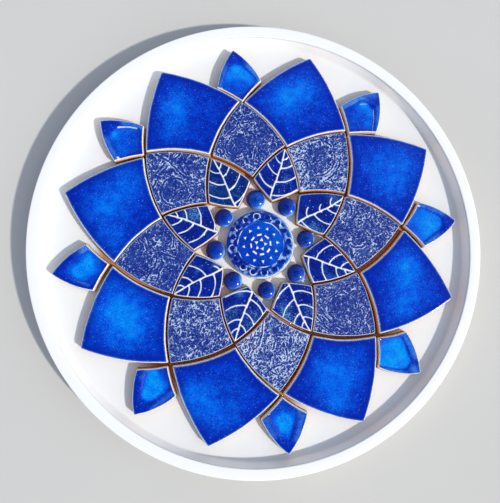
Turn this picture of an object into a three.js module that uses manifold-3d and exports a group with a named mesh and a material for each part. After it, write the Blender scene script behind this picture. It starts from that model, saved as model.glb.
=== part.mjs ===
// A round mandala of 41 glazed ceramic pieces laid dry in a shallow white tray.
// Millimetres, +Z up. The origin is the centre of the tray's foot, and the first textured tile
// lies on the +X side. The pieces repeat every 45 degrees, in five rings.
import * as THREE from 'three';
import { mergeVertices } from 'three/addons/utils/BufferGeometryUtils.js';
import Module from 'manifold-3d';

const wasm = await Module();
wasm.setup();

// Tray
const TRAY_RADIUS = 150;
const TRAY_HEIGHT = 16;
const WELL_DEPTH = 8.5;
const RIM_WIDTH = 7.4;
const WELL_RADIUS = 139.7;
const WELL_FILLET = 2.2;
const RIM_ROUND = 1;
const BASE_RADIUS = 139;
const FOOT_RADIUS = 128;
const FOOT_WIDTH = 8;
const FOOT_HEIGHT = 1.5;
const BASE_SLOPE = 0.4;
const FLANK_WIDTH = 3;
const FLANK_DROP = 1.5;
const FILLET_KNEE = 0.3;
const TRAY_SIDES = 52;
const FLOOR = TRAY_HEIGHT - WELL_DEPTH;

// Tiles
const TILE_THICKNESS = 6.4;
const TILE_GAP = 1.6;
const LEAF_INNER_GAP = 1.05;
const TILE_BEVEL = 0.8;
const EDGE_STEPS = 4;
const SHORT_EDGE_STEPS = 3;

// The drawn pattern: rings of crossings, each a distance from the centre
const FOLDS = 8;
const FOLD_ANGLE = 360 / FOLDS;
const HALF_FOLD = FOLD_ANGLE / 2;
const LEAF_INNER = 27.6;
const LEAF_SIDE = 43.4;
const LEAF_OUTER = 67.25;
const TEXTURED_OUTER = 97.3;
const LARGE_TIP = 134.7;
const SMALL_TIP = 135.2;
const SMALL_SIDE = 111;
const SMALL_SIDE_ANGLE = 8;
const LEAF_MIDDLE = (LEAF_INNER + LEAF_OUTER) / 2;
const TEXTURED_MIDDLE = (LEAF_SIDE + TEXTURED_OUTER) / 2;
const LARGE_MIDDLE = (LEAF_OUTER + LARGE_TIP) / 2;
const SMALL_MIDDLE = (TEXTURED_OUTER + SMALL_TIP) / 2;
const PATTERN_OFF_CENTRE = [0.45, 0.52];

// How far each curved side swells, as a share of its length
const LEAF_INNER_SWELL = 0.03;
const LEAF_SWELL = 0.05;
const TEXTURED_SWELL = 0.06;
const LARGE_SWELL = 0.055;
const SMALL_SWELL = 0.07;
const SMALL_INNER_SWELL = 0.03;
const LARGE_TIP_ROUND = 2;
const SMALL_TIP_ROUND = 1.2;

// The pieces are laid by hand: how far each one sits outward and round from its drawn place, and how
// many degrees it is turned about its own middle
const CABOCHON_PLACES = [[1, 0], [1.4, 1.1], [0.7, -1.3], [-0.1, 0.4], [-0.2, -0.2], [-0.1, 0.2],
  [0.5, 0.2], [0.5, -0.3]];
const LEAF_PLACES = [[-0.4, 0.4, 0.8], [1.5, 0.2, 1.1], [0, -0.1, -1], [0.3, -0.6, -1.8],
  [-0.3, 0.3, -0.7], [-0.1, -0.4, 0.7], [0.2, 0.1, 0.3], [-0.2, 0, -1.3]];
const TEXTURED_PLACES = [[-0.6, 0.5, 0.3], [0.3, 0.6, 0.3], [1.5, -0.7, 1.3], [0.4, -0.8, -1],
  [-1.1, -0.1, 0.7], [-0.1, 0.2, 0.3], [0.3, -0.3, -0.6], [-0.2, 0.1, -0.6]];
const LARGE_PLACES = [[-0.1, -0.3, 0.1], [0.4, -0.5, 0.2], [0.5, -1, 0.1], [-1.4, 0.5, 0.7],
  [-0.3, 0.3, 0.2], [0.5, 1, -0.7], [0.6, 0, 0.4], [1.1, -0.7, 0]];
const SMALL_PLACES = [[0.1, -0.3, -1.4], [-0.6, -1.2, 0.9], [-0.8, -0.3, 3], [-1.3, -0.1, -0.4],
  [0.6, 1, 2.7], [0.4, 1.2, 3.1], [1.5, 0.3, -1.1], [0.9, -2.2, -2.5]];

// How deep raised relief is rooted in its piece
const RELIEF_ROOT = 0.5;

// Leaf veins: the side veins leave the midrib by turns, the first on the clockwise side, and each
// one reaches less far outward and less far to its side than the one before
const VEIN_HEIGHT = 0.5;
const MIDRIB_START = [29, 1.1];
const MIDRIB_END = [64, -0.8];
const MIDRIB_WIDTH = 1;
const SIDE_VEIN_WIDTH = 0.75;
const VEIN_TIP_SHARE = 0.5;
const SIDE_VEINS = 6;
const SIDE_VEIN_FIRST = 31.7;
const SIDE_VEIN_STEP = 4.7;
const SIDE_VEIN_OUTWARD = [8.6, -0.75];
const SIDE_VEIN_SIDEWAYS = [14.8, -1.9];
const SIDE_VEIN_BEND = [0.08, 0.6];
// How the leaf stamp came down on each tile: outward, round and turned in degrees
const LEAF_STAMPS = [[0.4, -0.7, 0], [0.7, 0.6, -1], [0.5, 0.1, -1.5], [-0.1, -1.4, 0.4],
  [0.3, 0, 1.2], [0.1, 1.4, -2.6], [0.8, 0.7, -3.6], [1.6, -0.5, 0.9]];
// Side veins that came out short: tile and vein, each counted from 0, and the share of its length
const SHORT_VEINS = [[0, 1, 0.42], [0, 3, 0.4], [0, 5, 0.7], [4, 0, 0.25]];

// Crinkled surface
const CRINKLE_DEPTH = 0.9;
const CRINKLE_CELLS = 7;
const CRINKLE_SPAN = 45.5;
const CRINKLE_TURN = 45;
const CRINKLE_MIX = [12.9898, 78.233, 37.719];
const CRINKLE_SCATTER = 43758.5453;

// Dished pools of the small petals
const POOL_DEPTH = 0.6;
const POOL_BORDER = 1.3;
const POOL_CORNER = 1.4;
// Each pool's corners, outward and round
const POOLS = [
  [[100, 0.5], [110, -13.5], [125.5, -3.5], [125.5, 4.5], [110, 13.5]],
  [[100.5, 1], [110.5, -13], [124, -4.5], [124.5, 6], [109.5, 13]],
  [[101, 0.5], [112, -13.5], [125.5, -3.5], [125.5, 5], [110, 13.5]],
  [[102.5, 0], [111.5, -13], [125, -5], [125, 5], [109.5, 12.5]],
  [[99.5, -0.5], [108.5, -12.5], [126, -3.5], [126, 4.5], [109.5, 11.5]],
  [[99.5, -0.5], [106.5, -10.5], [125.5, -3.5], [125.5, 3.5], [115.5, 8.5], [108.5, 9.5]],
  [[99, -0.5], [108, -10.5], [126, -3.5], [126, 2.5], [108, 9.5]],
  [[100, 0], [110, -15], [126.5, -5], [126.5, 2.5], [110, 12]],
];

// Cabochons
const CABOCHON_RADIUS = 6.25;
const CABOCHON_RING = 30;
const CABOCHON_SIDE = 2.6;
const CABOCHON_HEIGHT = 6.3;
const CABOCHON_SIDES = 12;
const DOME_SHARES = [1, 0.67, 0.33];
// How large each one came out
const CABOCHON_SCALES = [0.965, 1.015, 1.03, 0.99, 1.04, 0.99, 0.97, 0.99];

// Medallion: a star of points, a ring of bars, a ring of points, a round ridge and a band of arches
const MEDALLION_RADIUS = 22.7;
const MEDALLION_FIELD = 6.2;
const MEDALLION_SIDES = 32;
const MEDALLION_LIP = { width: 1.3, crest: 0.5, rise: 0.4 };
const ORNAMENT_TOP = 6.9;
const STAR = { count: 5, ring: 3.1, size: 1.2 };
const BARS = { count: 8, ring: 6.5, length: 2.9, width: 1 };
const POINTS = { count: 12, ring: 11.2, size: 1.1 };
const RING_RADIUS = 15.2;
const RING_WIDTH = 1;
const ARCHES = { count: 16, ring: 18.7, outer: 2.6, inner: 1.7, half: 110, steps: 3 };

// Glaze and clay colours
const WHITE_GLAZE = { color: 0xf3f2ee, roughness: 0.3, metalness: 0 };
const COBALT_GLAZE = { color: 0x0a3bc4, roughness: 0.12, metalness: 0 };
const NAVY_GLAZE = { color: 0x121f7a, roughness: 0.2, metalness: 0 };
const CRINKLE_GLAZE = { color: 0x4d68b0, roughness: 0.35, metalness: 0 };
const DEEP_GLAZE = { color: 0x0a1a80, roughness: 0.08, metalness: 0 };
const AZURE_GLAZE = { color: 0x1c50cc, roughness: 0.2, metalness: 0 };

const MERGE_DISTANCE = 1e-4;
const radians = THREE.MathUtils.degToRad;

function polar(radius, degrees) {
  return new THREE.Vector2(radius, 0).rotateAround(new THREE.Vector2(), radians(degrees));
}

// Solids

function solidOf(geometry) {
  const bare = new THREE.BufferGeometry();
  bare.setAttribute('position', geometry.attributes.position);
  bare.setIndex(geometry.index);
  const merged = mergeVertices(bare, MERGE_DISTANCE);
  return new wasm.Manifold(new wasm.Mesh({
    numProp: 3,
    vertProperties: new Float32Array(merged.attributes.position.array),
    triVerts: new Uint32Array(merged.index.array),
  }));
}

function geometryOf(solid) {
  const mesh = solid.getMesh();
  const geometry = new THREE.BufferGeometry();
  geometry.setAttribute('position', new THREE.BufferAttribute(mesh.vertProperties, 3));
  geometry.setIndex(new THREE.BufferAttribute(mesh.triVerts, 1));
  return geometry;
}

function piece(name, geometry, glaze) {
  const flat = geometry.index ? geometry.toNonIndexed() : geometry;
  flat.computeVertexNormals();
  const mesh = new THREE.Mesh(flat, new THREE.MeshStandardMaterial(glaze));
  mesh.name = name;
  return mesh;
}

function prism(outline, bottom, top) {
  const geometry = new THREE.ExtrudeGeometry(new THREE.Shape(outline), {
    depth: top - bottom,
    bevelEnabled: false,
  });
  return geometry.translate(0, 0, bottom);
}

// Tile outlines: four corners, counterclockwise from the inner one, joined by circular arcs

const SHARP = [0, 0, 0, 0];

function sideArc(from, to, swell, setBack) {
  const chord = to.clone().sub(from);
  const length = chord.length();
  const rise = Math.abs(swell) * length;
  const radius = (length * length / 4 + rise * rise) / (2 * rise);
  const outward = new THREE.Vector2(chord.y, -chord.x).divideScalar(length);
  const side = Math.sign(swell);
  const centre = from.clone().add(to).divideScalar(2);
  centre.addScaledVector(outward, -side * (radius - rise));
  return { centre, side, radius: radius - side * setBack };
}

function shrunk(arc, amount) {
  return { ...arc, radius: arc.radius - arc.side * amount };
}

function crossing(first, second, near) {
  const between = second.centre.clone().sub(first.centre);
  const distance = between.length();
  const along = (distance ** 2 + first.radius ** 2 - second.radius ** 2) / (2 * distance);
  const across = Math.sqrt(Math.max(first.radius ** 2 - along ** 2, 0));
  const unit = between.divideScalar(distance);
  const normal = new THREE.Vector2(-unit.y, unit.x);
  const foot = first.centre.clone().addScaledVector(unit, along);
  const options = [1, -1].map((sign) => foot.clone().addScaledVector(normal, sign * across));
  return options[0].distanceTo(near) < options[1].distanceTo(near) ? options[0] : options[1];
}

function onArc(arc, toward) {
  const ray = toward.clone().sub(arc.centre).setLength(arc.radius);
  return arc.centre.clone().add(ray);
}

function arcPoints(arc, from, to, steps) {
  const start = from.clone().sub(arc.centre).angle();
  const sweep = to.clone().sub(arc.centre).angle() - start;
  const turn = THREE.MathUtils.euclideanModulo(sweep + Math.PI, 2 * Math.PI) - Math.PI;
  return Array.from({ length: steps }, (_, i) => {
    const angle = start + turn * i / steps;
    return new THREE.Vector2(Math.cos(angle), Math.sin(angle))
      .multiplyScalar(arc.radius)
      .add(arc.centre);
  });
}

function tileOutline({ corners, swells, setBacks, rounds = SHARP, inset = 0, steps = EDGE_STEPS }) {
  const count = corners.length;
  const arcs = corners.map((corner, i) =>
    sideArc(corner, corners[(i + 1) % count], swells[i], setBacks[i] + inset));
  const ends = corners.map((corner, i) => {
    const before = arcs[(i + count - 1) % count];
    const after = arcs[i];
    if (rounds[i] === 0) {
      const point = crossing(before, after, corner);
      return { leave: point, arrive: point, points: [] };
    }
    const centre = crossing(shrunk(before, rounds[i]), shrunk(after, rounds[i]), corner);
    const arrive = onArc(before, centre);
    const leave = onArc(after, centre);
    const round = { centre, radius: rounds[i] };
    return { arrive, leave, points: arcPoints(round, arrive, leave, 2) };
  });
  return arcs.flatMap((arc, i) => [
    ...ends[i].points,
    ...arcPoints(arc, ends[i].leave, ends[(i + 1) % count].arrive, steps),
  ]);
}

const HALF_GAP = TILE_GAP / 2;
const ALL_GAPS = [HALF_GAP, HALF_GAP, HALF_GAP, HALF_GAP];
const LEAF_GAPS = [LEAF_INNER_GAP, HALF_GAP, HALF_GAP, LEAF_INNER_GAP];

const LEAF = {
  corners: [polar(LEAF_INNER, 0), polar(LEAF_SIDE, -HALF_FOLD), polar(LEAF_OUTER, 0),
    polar(LEAF_SIDE, HALF_FOLD)],
  swells: [LEAF_INNER_SWELL, LEAF_SWELL, LEAF_SWELL, LEAF_INNER_SWELL],
  setBacks: LEAF_GAPS,
  steps: SHORT_EDGE_STEPS,
};

const TEXTURED = {
  corners: [polar(LEAF_SIDE, 0), polar(LEAF_OUTER, -HALF_FOLD), polar(TEXTURED_OUTER, 0),
    polar(LEAF_OUTER, HALF_FOLD)],
  swells: [-LEAF_SWELL, TEXTURED_SWELL, TEXTURED_SWELL, -LEAF_SWELL],
  setBacks: ALL_GAPS,
  steps: SHORT_EDGE_STEPS,
};

const LARGE = {
  corners: [polar(LEAF_OUTER, 0), polar(TEXTURED_OUTER, -HALF_FOLD), polar(LARGE_TIP, 0),
    polar(TEXTURED_OUTER, HALF_FOLD)],
  swells: [-TEXTURED_SWELL, LARGE_SWELL, LARGE_SWELL, -TEXTURED_SWELL],
  setBacks: ALL_GAPS,
  rounds: [0, 0, LARGE_TIP_ROUND, 0],
};

const SMALL = {
  corners: [polar(TEXTURED_OUTER, 0), polar(SMALL_SIDE, -SMALL_SIDE_ANGLE), polar(SMALL_TIP, 0),
    polar(SMALL_SIDE, SMALL_SIDE_ANGLE)],
  swells: [-SMALL_INNER_SWELL, SMALL_SWELL, SMALL_SWELL, -SMALL_INNER_SWELL],
  setBacks: [HALF_GAP, 0, 0, HALF_GAP],
  rounds: [0, 0, SMALL_TIP_ROUND, 0],
  steps: SHORT_EDGE_STEPS,
};

// A tile's clay body: straight sides, a flat back at z = 0 and a bevel round the top
function tileBody(form, thickness = TILE_THICKNESS) {
  const geometry = new THREE.ExtrudeGeometry(new THREE.Shape(tileOutline(form)), {
    depth: thickness,
    bevelThickness: TILE_BEVEL,
    bevelSize: TILE_BEVEL,
    bevelOffset: -TILE_BEVEL,
    bevelSegments: 1,
  });
  geometry.translate(0, 0, -TILE_BEVEL);
  const reach = 2 * TRAY_RADIUS;
  const below = new THREE.BoxGeometry(2 * reach, reach, reach).translate(0, 0, -reach / 2);
  return solidOf(geometry).subtract(solidOf(below));
}

// Leaf tile: a midrib from the inner corner to the outer one, and side veins by turns

function ribbon(curve, width, steps) {
  const middle = curve.getPoints(steps);
  const side = (sign) => middle.map((point, i) => {
    const tangent = curve.getTangent(i / steps);
    const half = width / 2 * THREE.MathUtils.lerp(1, VEIN_TIP_SHARE, i / steps);
    return new THREE.Vector2(-tangent.y, tangent.x).multiplyScalar(sign * half).add(point);
  });
  return [...side(-1), ...side(1).reverse()];
}

function pressed(outline, tile) {
  const [outward, round, turn] = LEAF_STAMPS[tile];
  const shift = new THREE.Vector2(outward, round);
  const middle = polar(LEAF_MIDDLE, 0);
  return outline.map((point) => point.rotateAround(middle, radians(turn)).add(shift));
}

function lengthShare(tile, vein) {
  const short = SHORT_VEINS.find(([onTile, number]) => onTile === tile && number === vein);
  return short ? short[2] : 1;
}

function leafVeins(tile) {
  const midrib = new THREE.LineCurve(
    new THREE.Vector2(...MIDRIB_START),
    new THREE.Vector2(...MIDRIB_END),
  );
  const veins = [ribbon(midrib, MIDRIB_WIDTH, 1)];
  for (let i = 0; i < SIDE_VEINS; i += 1) {
    const side = i % 2 === 0 ? -1 : 1;
    const share = lengthShare(tile, i);
    const root = new THREE.Vector2(SIDE_VEIN_FIRST + SIDE_VEIN_STEP * i, 0);
    const outward = share * (SIDE_VEIN_OUTWARD[0] + SIDE_VEIN_OUTWARD[1] * i);
    const sideways = share * side * (SIDE_VEIN_SIDEWAYS[0] + SIDE_VEIN_SIDEWAYS[1] * i);
    const bend = new THREE.Vector2(SIDE_VEIN_BEND[0] * outward, SIDE_VEIN_BEND[1] * sideways);
    const tip = new THREE.Vector2(outward, sideways);
    const curve = new THREE.QuadraticBezierCurve(root, bend.add(root), tip.add(root));
    veins.push(ribbon(curve, SIDE_VEIN_WIDTH, 2));
  }
  return veins.map((outline) => pressed(outline, tile));
}

function leafTile(tile) {
  const top = TILE_THICKNESS;
  const field = tileOutline({ ...LEAF, inset: TILE_BEVEL });
  const frame = solidOf(prism(field, 0, top + VEIN_HEIGHT));
  return leafVeins(tile).reduce((body, outline) => {
    const vein = solidOf(prism(outline, top - RELIEF_ROOT, top + VEIN_HEIGHT));
    return body.add(vein.intersect(frame));
  }, tileBody(LEAF));
}

// Textured tile: the top is a grid of hollows and crests that repeat in no visible order

function crinkle(column, row, tile) {
  const seed = column * CRINKLE_MIX[0] + row * CRINKLE_MIX[1] + tile * CRINKLE_MIX[2];
  const mixed = Math.sin(seed) * CRINKLE_SCATTER;
  return mixed - Math.floor(mixed);
}

function texturedTile(tile) {
  const span = CRINKLE_SPAN;
  const depth = TILE_THICKNESS;
  const slab = new THREE.BoxGeometry(span, span, depth, CRINKLE_CELLS, CRINKLE_CELLS, 1);
  const place = slab.attributes.position;
  for (let i = 0; i < place.count; i += 1) {
    if (place.getZ(i) > 0) {
      const column = Math.round(place.getX(i) / span * CRINKLE_CELLS);
      const row = Math.round(place.getY(i) / span * CRINKLE_CELLS);
      place.setZ(i, depth / 2 - CRINKLE_DEPTH * crinkle(column, row, tile));
    }
  }
  slab.rotateZ(radians(CRINKLE_TURN)).translate(TEXTURED_MIDDLE, 0, depth / 2);
  return tileBody(TEXTURED).intersect(solidOf(slab));
}

// Small petal: a shallow dished pool in the face

function poolOutline(corners) {
  const points = corners.map(([outward, round]) => new THREE.Vector2(outward, round));
  return points.flatMap((point, i) => [points.at(i - 1), points[(i + 1) % points.length]]
    .map((next) => next.clone().sub(point).setLength(POOL_CORNER).add(point)));
}

function smallPetal(corners) {
  const top = TILE_THICKNESS;
  const pool = solidOf(prism(poolOutline(corners), top - POOL_DEPTH, top + POOL_DEPTH));
  const field = solidOf(prism(tileOutline({ ...SMALL, inset: POOL_BORDER }), 0, top + POOL_DEPTH));
  return tileBody(SMALL).subtract(pool.intersect(field));
}

// Cabochon: a low drum under a dome

function cabochon(scale) {
  const radius = CABOCHON_RADIUS * scale;
  const rise = CABOCHON_HEIGHT - CABOCHON_SIDE;
  const domeRadius = (radius ** 2 + rise ** 2) / (2 * rise);
  const spread = Math.asin(radius / domeRadius);
  const dome = DOME_SHARES.map((share) => new THREE.Vector2(
    domeRadius * Math.sin(share * spread),
    CABOCHON_HEIGHT - domeRadius * (1 - Math.cos(share * spread)),
  ));
  return new THREE.LatheGeometry([
    new THREE.Vector2(0, 0),
    new THREE.Vector2(radius, 0),
    ...dome,
    new THREE.Vector2(0, CABOCHON_HEIGHT),
  ], CABOCHON_SIDES);
}

// Medallion: a disc with a round ridge, a rosette inside it and a band of arches outside

function inRing(outline, ring, index, count) {
  const angle = radians(360 / count * index);
  return outline.map((point) => point.add(polar(ring, 0)).rotateAround(new THREE.Vector2(), angle));
}

function point({ size }) {
  return [0, 120, 240].map((angle) => polar(size, angle));
}

function bar({ length, width }) {
  const across = [[-1, -1], [1, -1], [1, 1], [-1, 1]];
  return across.map(([x, y]) => new THREE.Vector2(x * width / 2, y * length / 2));
}

function arch({ outer, inner, half, steps }) {
  const along = Array.from({ length: steps + 1 }, (_, i) => half * (2 * i / steps - 1));
  const outside = along.map((angle) => polar(outer, angle));
  const inside = along.reverse().map((angle) => polar(inner, angle));
  return [...outside, ...inside];
}

function ornamentRing(motif, sizes) {
  return Array.from({ length: sizes.count }, (_, i) =>
    inRing(motif(sizes), sizes.ring, i, sizes.count));
}

function medallion() {
  const edge = MEDALLION_RADIUS;
  const field = MEDALLION_FIELD;
  const { width, crest, rise } = MEDALLION_LIP;
  const disc = new THREE.LatheGeometry([
    [0, 0],
    [edge, 0],
    [edge, field - rise],
    [edge - crest, field + rise],
    [edge - width, field],
    [RING_RADIUS + RING_WIDTH, field],
    [RING_RADIUS + RING_WIDTH / 4, ORNAMENT_TOP],
    [RING_RADIUS - RING_WIDTH / 4, ORNAMENT_TOP],
    [RING_RADIUS - RING_WIDTH, field],
    [0, field],
  ].map(([r, z]) => new THREE.Vector2(r, z)), MEDALLION_SIDES);
  const ornament = [
    ...ornamentRing(point, STAR),
    ...ornamentRing(bar, BARS),
    ...ornamentRing(point, POINTS),
    ...ornamentRing(arch, ARCHES),
  ];
  return ornament.reduce((body, outline) =>
    body.add(solidOf(prism(outline, field - RELIEF_ROOT, ORNAMENT_TOP))), solidOf(upright(disc)));
}

// Tray: turned in one, with a foot under the base and a fillet where the wall meets the floor

function tray() {
  const rimInner = TRAY_RADIUS - RIM_WIDTH;
  const footInner = FOOT_RADIUS - FOOT_WIDTH;
  const knee = FILLET_KNEE * WELL_FILLET;
  const profile = [
    [0, FOOT_HEIGHT],
    [footInner - FOOT_HEIGHT, FOOT_HEIGHT],
    [footInner, 0],
    [FOOT_RADIUS, 0],
    [FOOT_RADIUS + FOOT_HEIGHT, FOOT_HEIGHT],
    [BASE_RADIUS, FOOT_HEIGHT + BASE_SLOPE],
    [TRAY_RADIUS - FLANK_WIDTH, FLOOR - FLANK_DROP],
    [TRAY_RADIUS, TRAY_HEIGHT - RIM_ROUND],
    [TRAY_RADIUS - RIM_ROUND, TRAY_HEIGHT],
    [rimInner + RIM_ROUND, TRAY_HEIGHT],
    [rimInner, TRAY_HEIGHT - RIM_ROUND / 2],
    [WELL_RADIUS + knee, FLOOR + WELL_FILLET],
    [WELL_RADIUS - knee, FLOOR + knee],
    [WELL_RADIUS - WELL_FILLET, FLOOR],
    [0, FLOOR],
  ];
  return new THREE.LatheGeometry(profile.map(([r, z]) => new THREE.Vector2(r, z)), TRAY_SIDES);
}

// A lathe turns about +Y, and the pieces stand along +Z
function upright(geometry) {
  return geometry.rotateX(Math.PI / 2);
}

// Assembly

const mandala = new THREE.Group();
const pattern = new THREE.Group();
pattern.position.set(...PATTERN_OFF_CENTRE, FLOOR);
mandala.add(piece('tray', upright(tray()), WHITE_GLAZE), pattern);

function lay(mesh, degrees, [outward, round, turn = 0], about = 0) {
  const arm = new THREE.Group();
  arm.rotation.z = radians(degrees);
  mesh.rotation.z = radians(turn);
  const pivot = polar(about, 0).sub(polar(about, turn));
  mesh.position.set(pivot.x + outward, pivot.y + round, 0);
  arm.add(mesh);
  pattern.add(arm);
}

pattern.add(piece('medallion', geometryOf(medallion()), AZURE_GLAZE));

for (let i = 0; i < FOLDS; i += 1) {
  const number = i + 1;
  const axis = FOLD_ANGLE * i;
  const between = axis + HALF_FOLD;
  const [outward, round] = CABOCHON_PLACES[i];
  const dome = upright(cabochon(CABOCHON_SCALES[i]));
  lay(piece(`cabochon_${number}`, dome, DEEP_GLAZE), axis, [CABOCHON_RING + outward, round]);
  lay(piece(`leaf_tile_${number}`, geometryOf(leafTile(i)), NAVY_GLAZE), between,
    LEAF_PLACES[i], LEAF_MIDDLE);
  lay(piece(`textured_tile_${number}`, geometryOf(texturedTile(number)), CRINKLE_GLAZE), axis,
    TEXTURED_PLACES[i], TEXTURED_MIDDLE);
  lay(piece(`large_petal_${number}`, geometryOf(tileBody(LARGE)), COBALT_GLAZE), between,
    LARGE_PLACES[i], LARGE_MIDDLE);
  lay(piece(`small_petal_${number}`, geometryOf(smallPetal(POOLS[i])), COBALT_GLAZE), axis,
    SMALL_PLACES[i], SMALL_MIDDLE);
}

export default mandala;
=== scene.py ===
from collections import namedtuple
from math import atan2, cos, hypot, pi, radians, sin, sqrt

import bpy
import numpy as np
from bpy.props import FloatProperty, FloatVectorProperty, PointerProperty
from mathutils import Matrix, Vector, noise


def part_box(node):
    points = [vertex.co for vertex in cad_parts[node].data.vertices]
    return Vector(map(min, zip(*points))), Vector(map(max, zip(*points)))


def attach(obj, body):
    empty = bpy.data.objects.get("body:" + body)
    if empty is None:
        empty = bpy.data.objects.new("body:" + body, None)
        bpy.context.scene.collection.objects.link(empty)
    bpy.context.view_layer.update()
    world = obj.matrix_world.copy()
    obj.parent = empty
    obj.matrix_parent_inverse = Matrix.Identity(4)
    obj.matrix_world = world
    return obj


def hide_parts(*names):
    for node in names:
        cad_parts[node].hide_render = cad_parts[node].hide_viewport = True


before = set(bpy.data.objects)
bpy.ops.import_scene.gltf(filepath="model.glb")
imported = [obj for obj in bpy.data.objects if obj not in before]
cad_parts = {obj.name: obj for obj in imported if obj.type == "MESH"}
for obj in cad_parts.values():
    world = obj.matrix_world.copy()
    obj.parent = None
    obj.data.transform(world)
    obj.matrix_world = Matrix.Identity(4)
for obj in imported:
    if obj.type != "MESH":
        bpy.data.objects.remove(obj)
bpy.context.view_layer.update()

bl_info = {
    "name": "Ceramic mandala",
    "version": (1, 0, 0),
    "blender": (4, 5, 0),
    "location": "3D View > Sidebar > Mandala",
    "description": "Glazed tiles of a round mandala, laid in a shallow white tray",
    "category": "Add Mesh",
}

MM = 0.001
FOLDS = 8
FOLD_ANGLE = 2 * pi / FOLDS
HALF_FOLD = FOLD_ANGLE / 2

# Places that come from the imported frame
_, TRAY_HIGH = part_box("tray")
TRAY_RADIUS = TRAY_HIGH.x
RIM_TOP = TRAY_HIGH.z
TILE_LOW, TILE_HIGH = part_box("large_petal_1")
FLOOR = TILE_LOW.z
TILE_THICKNESS = TILE_HIGH.z - TILE_LOW.z
DISC_LOW, DISC_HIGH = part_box("medallion")
PATTERN_CENTRE = (DISC_LOW + DISC_HIGH).xy / 2

# The drawn pattern: rings of crossings, each a distance from the centre
LEAF_INNER = 27.6 * MM
LEAF_SIDE = 43.4 * MM
LEAF_OUTER = 67.25 * MM
TEXTURED_OUTER = 97.3 * MM
LARGE_TIP = 134.7 * MM
SMALL_TIP = 135.2 * MM
SMALL_SIDE = 111 * MM
SMALL_SIDE_ANGLE = radians(8)

# How far each curved side swells, as a share of its length
LEAF_INNER_SWELL = 0.03
LEAF_SWELL = 0.05
TEXTURED_SWELL = 0.06
LARGE_SWELL = 0.055
SMALL_SWELL = 0.07
SMALL_INNER_SWELL = 0.03

# The pieces are laid by hand: how far each one sits outward and round from its drawn place, in
# millimetres, and how many degrees it is turned about its own middle
CABOCHON_PLACES = [
    (1, 0, 0), (1.4, 1.1, 0), (0.7, -1.3, 0), (-0.1, 0.4, 0),
    (-0.2, -0.2, 0), (-0.1, 0.2, 0), (0.5, 0.2, 0), (0.5, -0.3, 0),
]
LEAF_PLACES = [
    (-0.4, 0.4, 0.8), (1.5, 0.2, 1.1), (0, -0.1, -1), (0.3, -0.6, -1.8),
    (-0.3, 0.3, -0.7), (-0.1, -0.4, 0.7), (0.2, 0.1, 0.3), (-0.2, 0, -1.3),
]
TEXTURED_PLACES = [
    (-0.6, 0.5, 0.3), (0.3, 0.6, 0.3), (1.5, -0.7, 1.3), (0.4, -0.8, -1),
    (-1.1, -0.1, 0.7), (-0.1, 0.2, 0.3), (0.3, -0.3, -0.6), (-0.2, 0.1, -0.6),
]
LARGE_PLACES = [
    (-0.1, -0.3, 0.1), (0.4, -0.5, 0.2), (0.5, -1, 0.1), (-1.4, 0.5, 0.7),
    (-0.3, 0.3, 0.2), (0.5, 1, -0.7), (0.6, 0, 0.4), (1.1, -0.7, 0),
]
SMALL_PLACES = [
    (0.1, -0.3, -1.4), (-0.6, -1.2, 0.9), (-0.8, -0.3, 3), (-1.3, -0.1, -0.4),
    (0.6, 1, 2.7), (0.4, 1.2, 3.1), (1.5, 0.3, -1.1), (0.9, -2.2, -2.5),
]

# The drawn outline of a tile, its corners counterclockwise from the inner one
Form = namedtuple("Form", "corners swells set_backs rounds")
# One side of an outline: a circle, and 1 where it bows outward or -1 where it bows inward
Arc = namedtuple("Arc", "centre radius side")
Kiln = namedtuple("Kiln", "sizes colours")


def measure(name, description, default):
    return FloatProperty(name=name, description=description, default=default, unit="LENGTH")


class MandalaSizes(bpy.types.PropertyGroup):
    """Sizes of the tiles' edges and relief."""

    tile_gap: measure("Tile gap", "Width of the open joint between two tiles, at their top edges", 1.8 * MM)
    lip_width: measure("Lip width", "How far a tile's rounded top edge runs in over its face", 1.1 * MM)
    lip_drop: measure("Lip drop", "How far the rounded top edge runs down the side", 0.9 * MM)
    wall_slope: measure("Wall slope", "How far the foot of a cut side stands out past its top", 0.6 * MM)
    hand_wave: measure("Hand wave", "How far a hand-cut edge wanders from its drawn line", 0.16 * MM)
    crinkle_height: measure("Crinkle height", "Height of the pressed lace on the textured tiles", 0.55 * MM)
    vein_height: measure("Vein height", "Height of the leaf veins over the tile's face", 0.5 * MM)
    pool_depth: measure("Pool depth", "Depth of the dished pool in a small petal", 0.6 * MM)
    ornament_height: measure("Ornament height", "Height of the medallion's pressed ornament", 0.7 * MM)
    mottle_grain: measure("Mottle grain", "Size of the fine mottling in the blue glaze", 0.9 * MM)


def colour(name, description, rgb):
    return FloatVectorProperty(
        name=name, description=description, default=rgb, subtype="COLOR", size=3, min=0, max=1
    )


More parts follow.
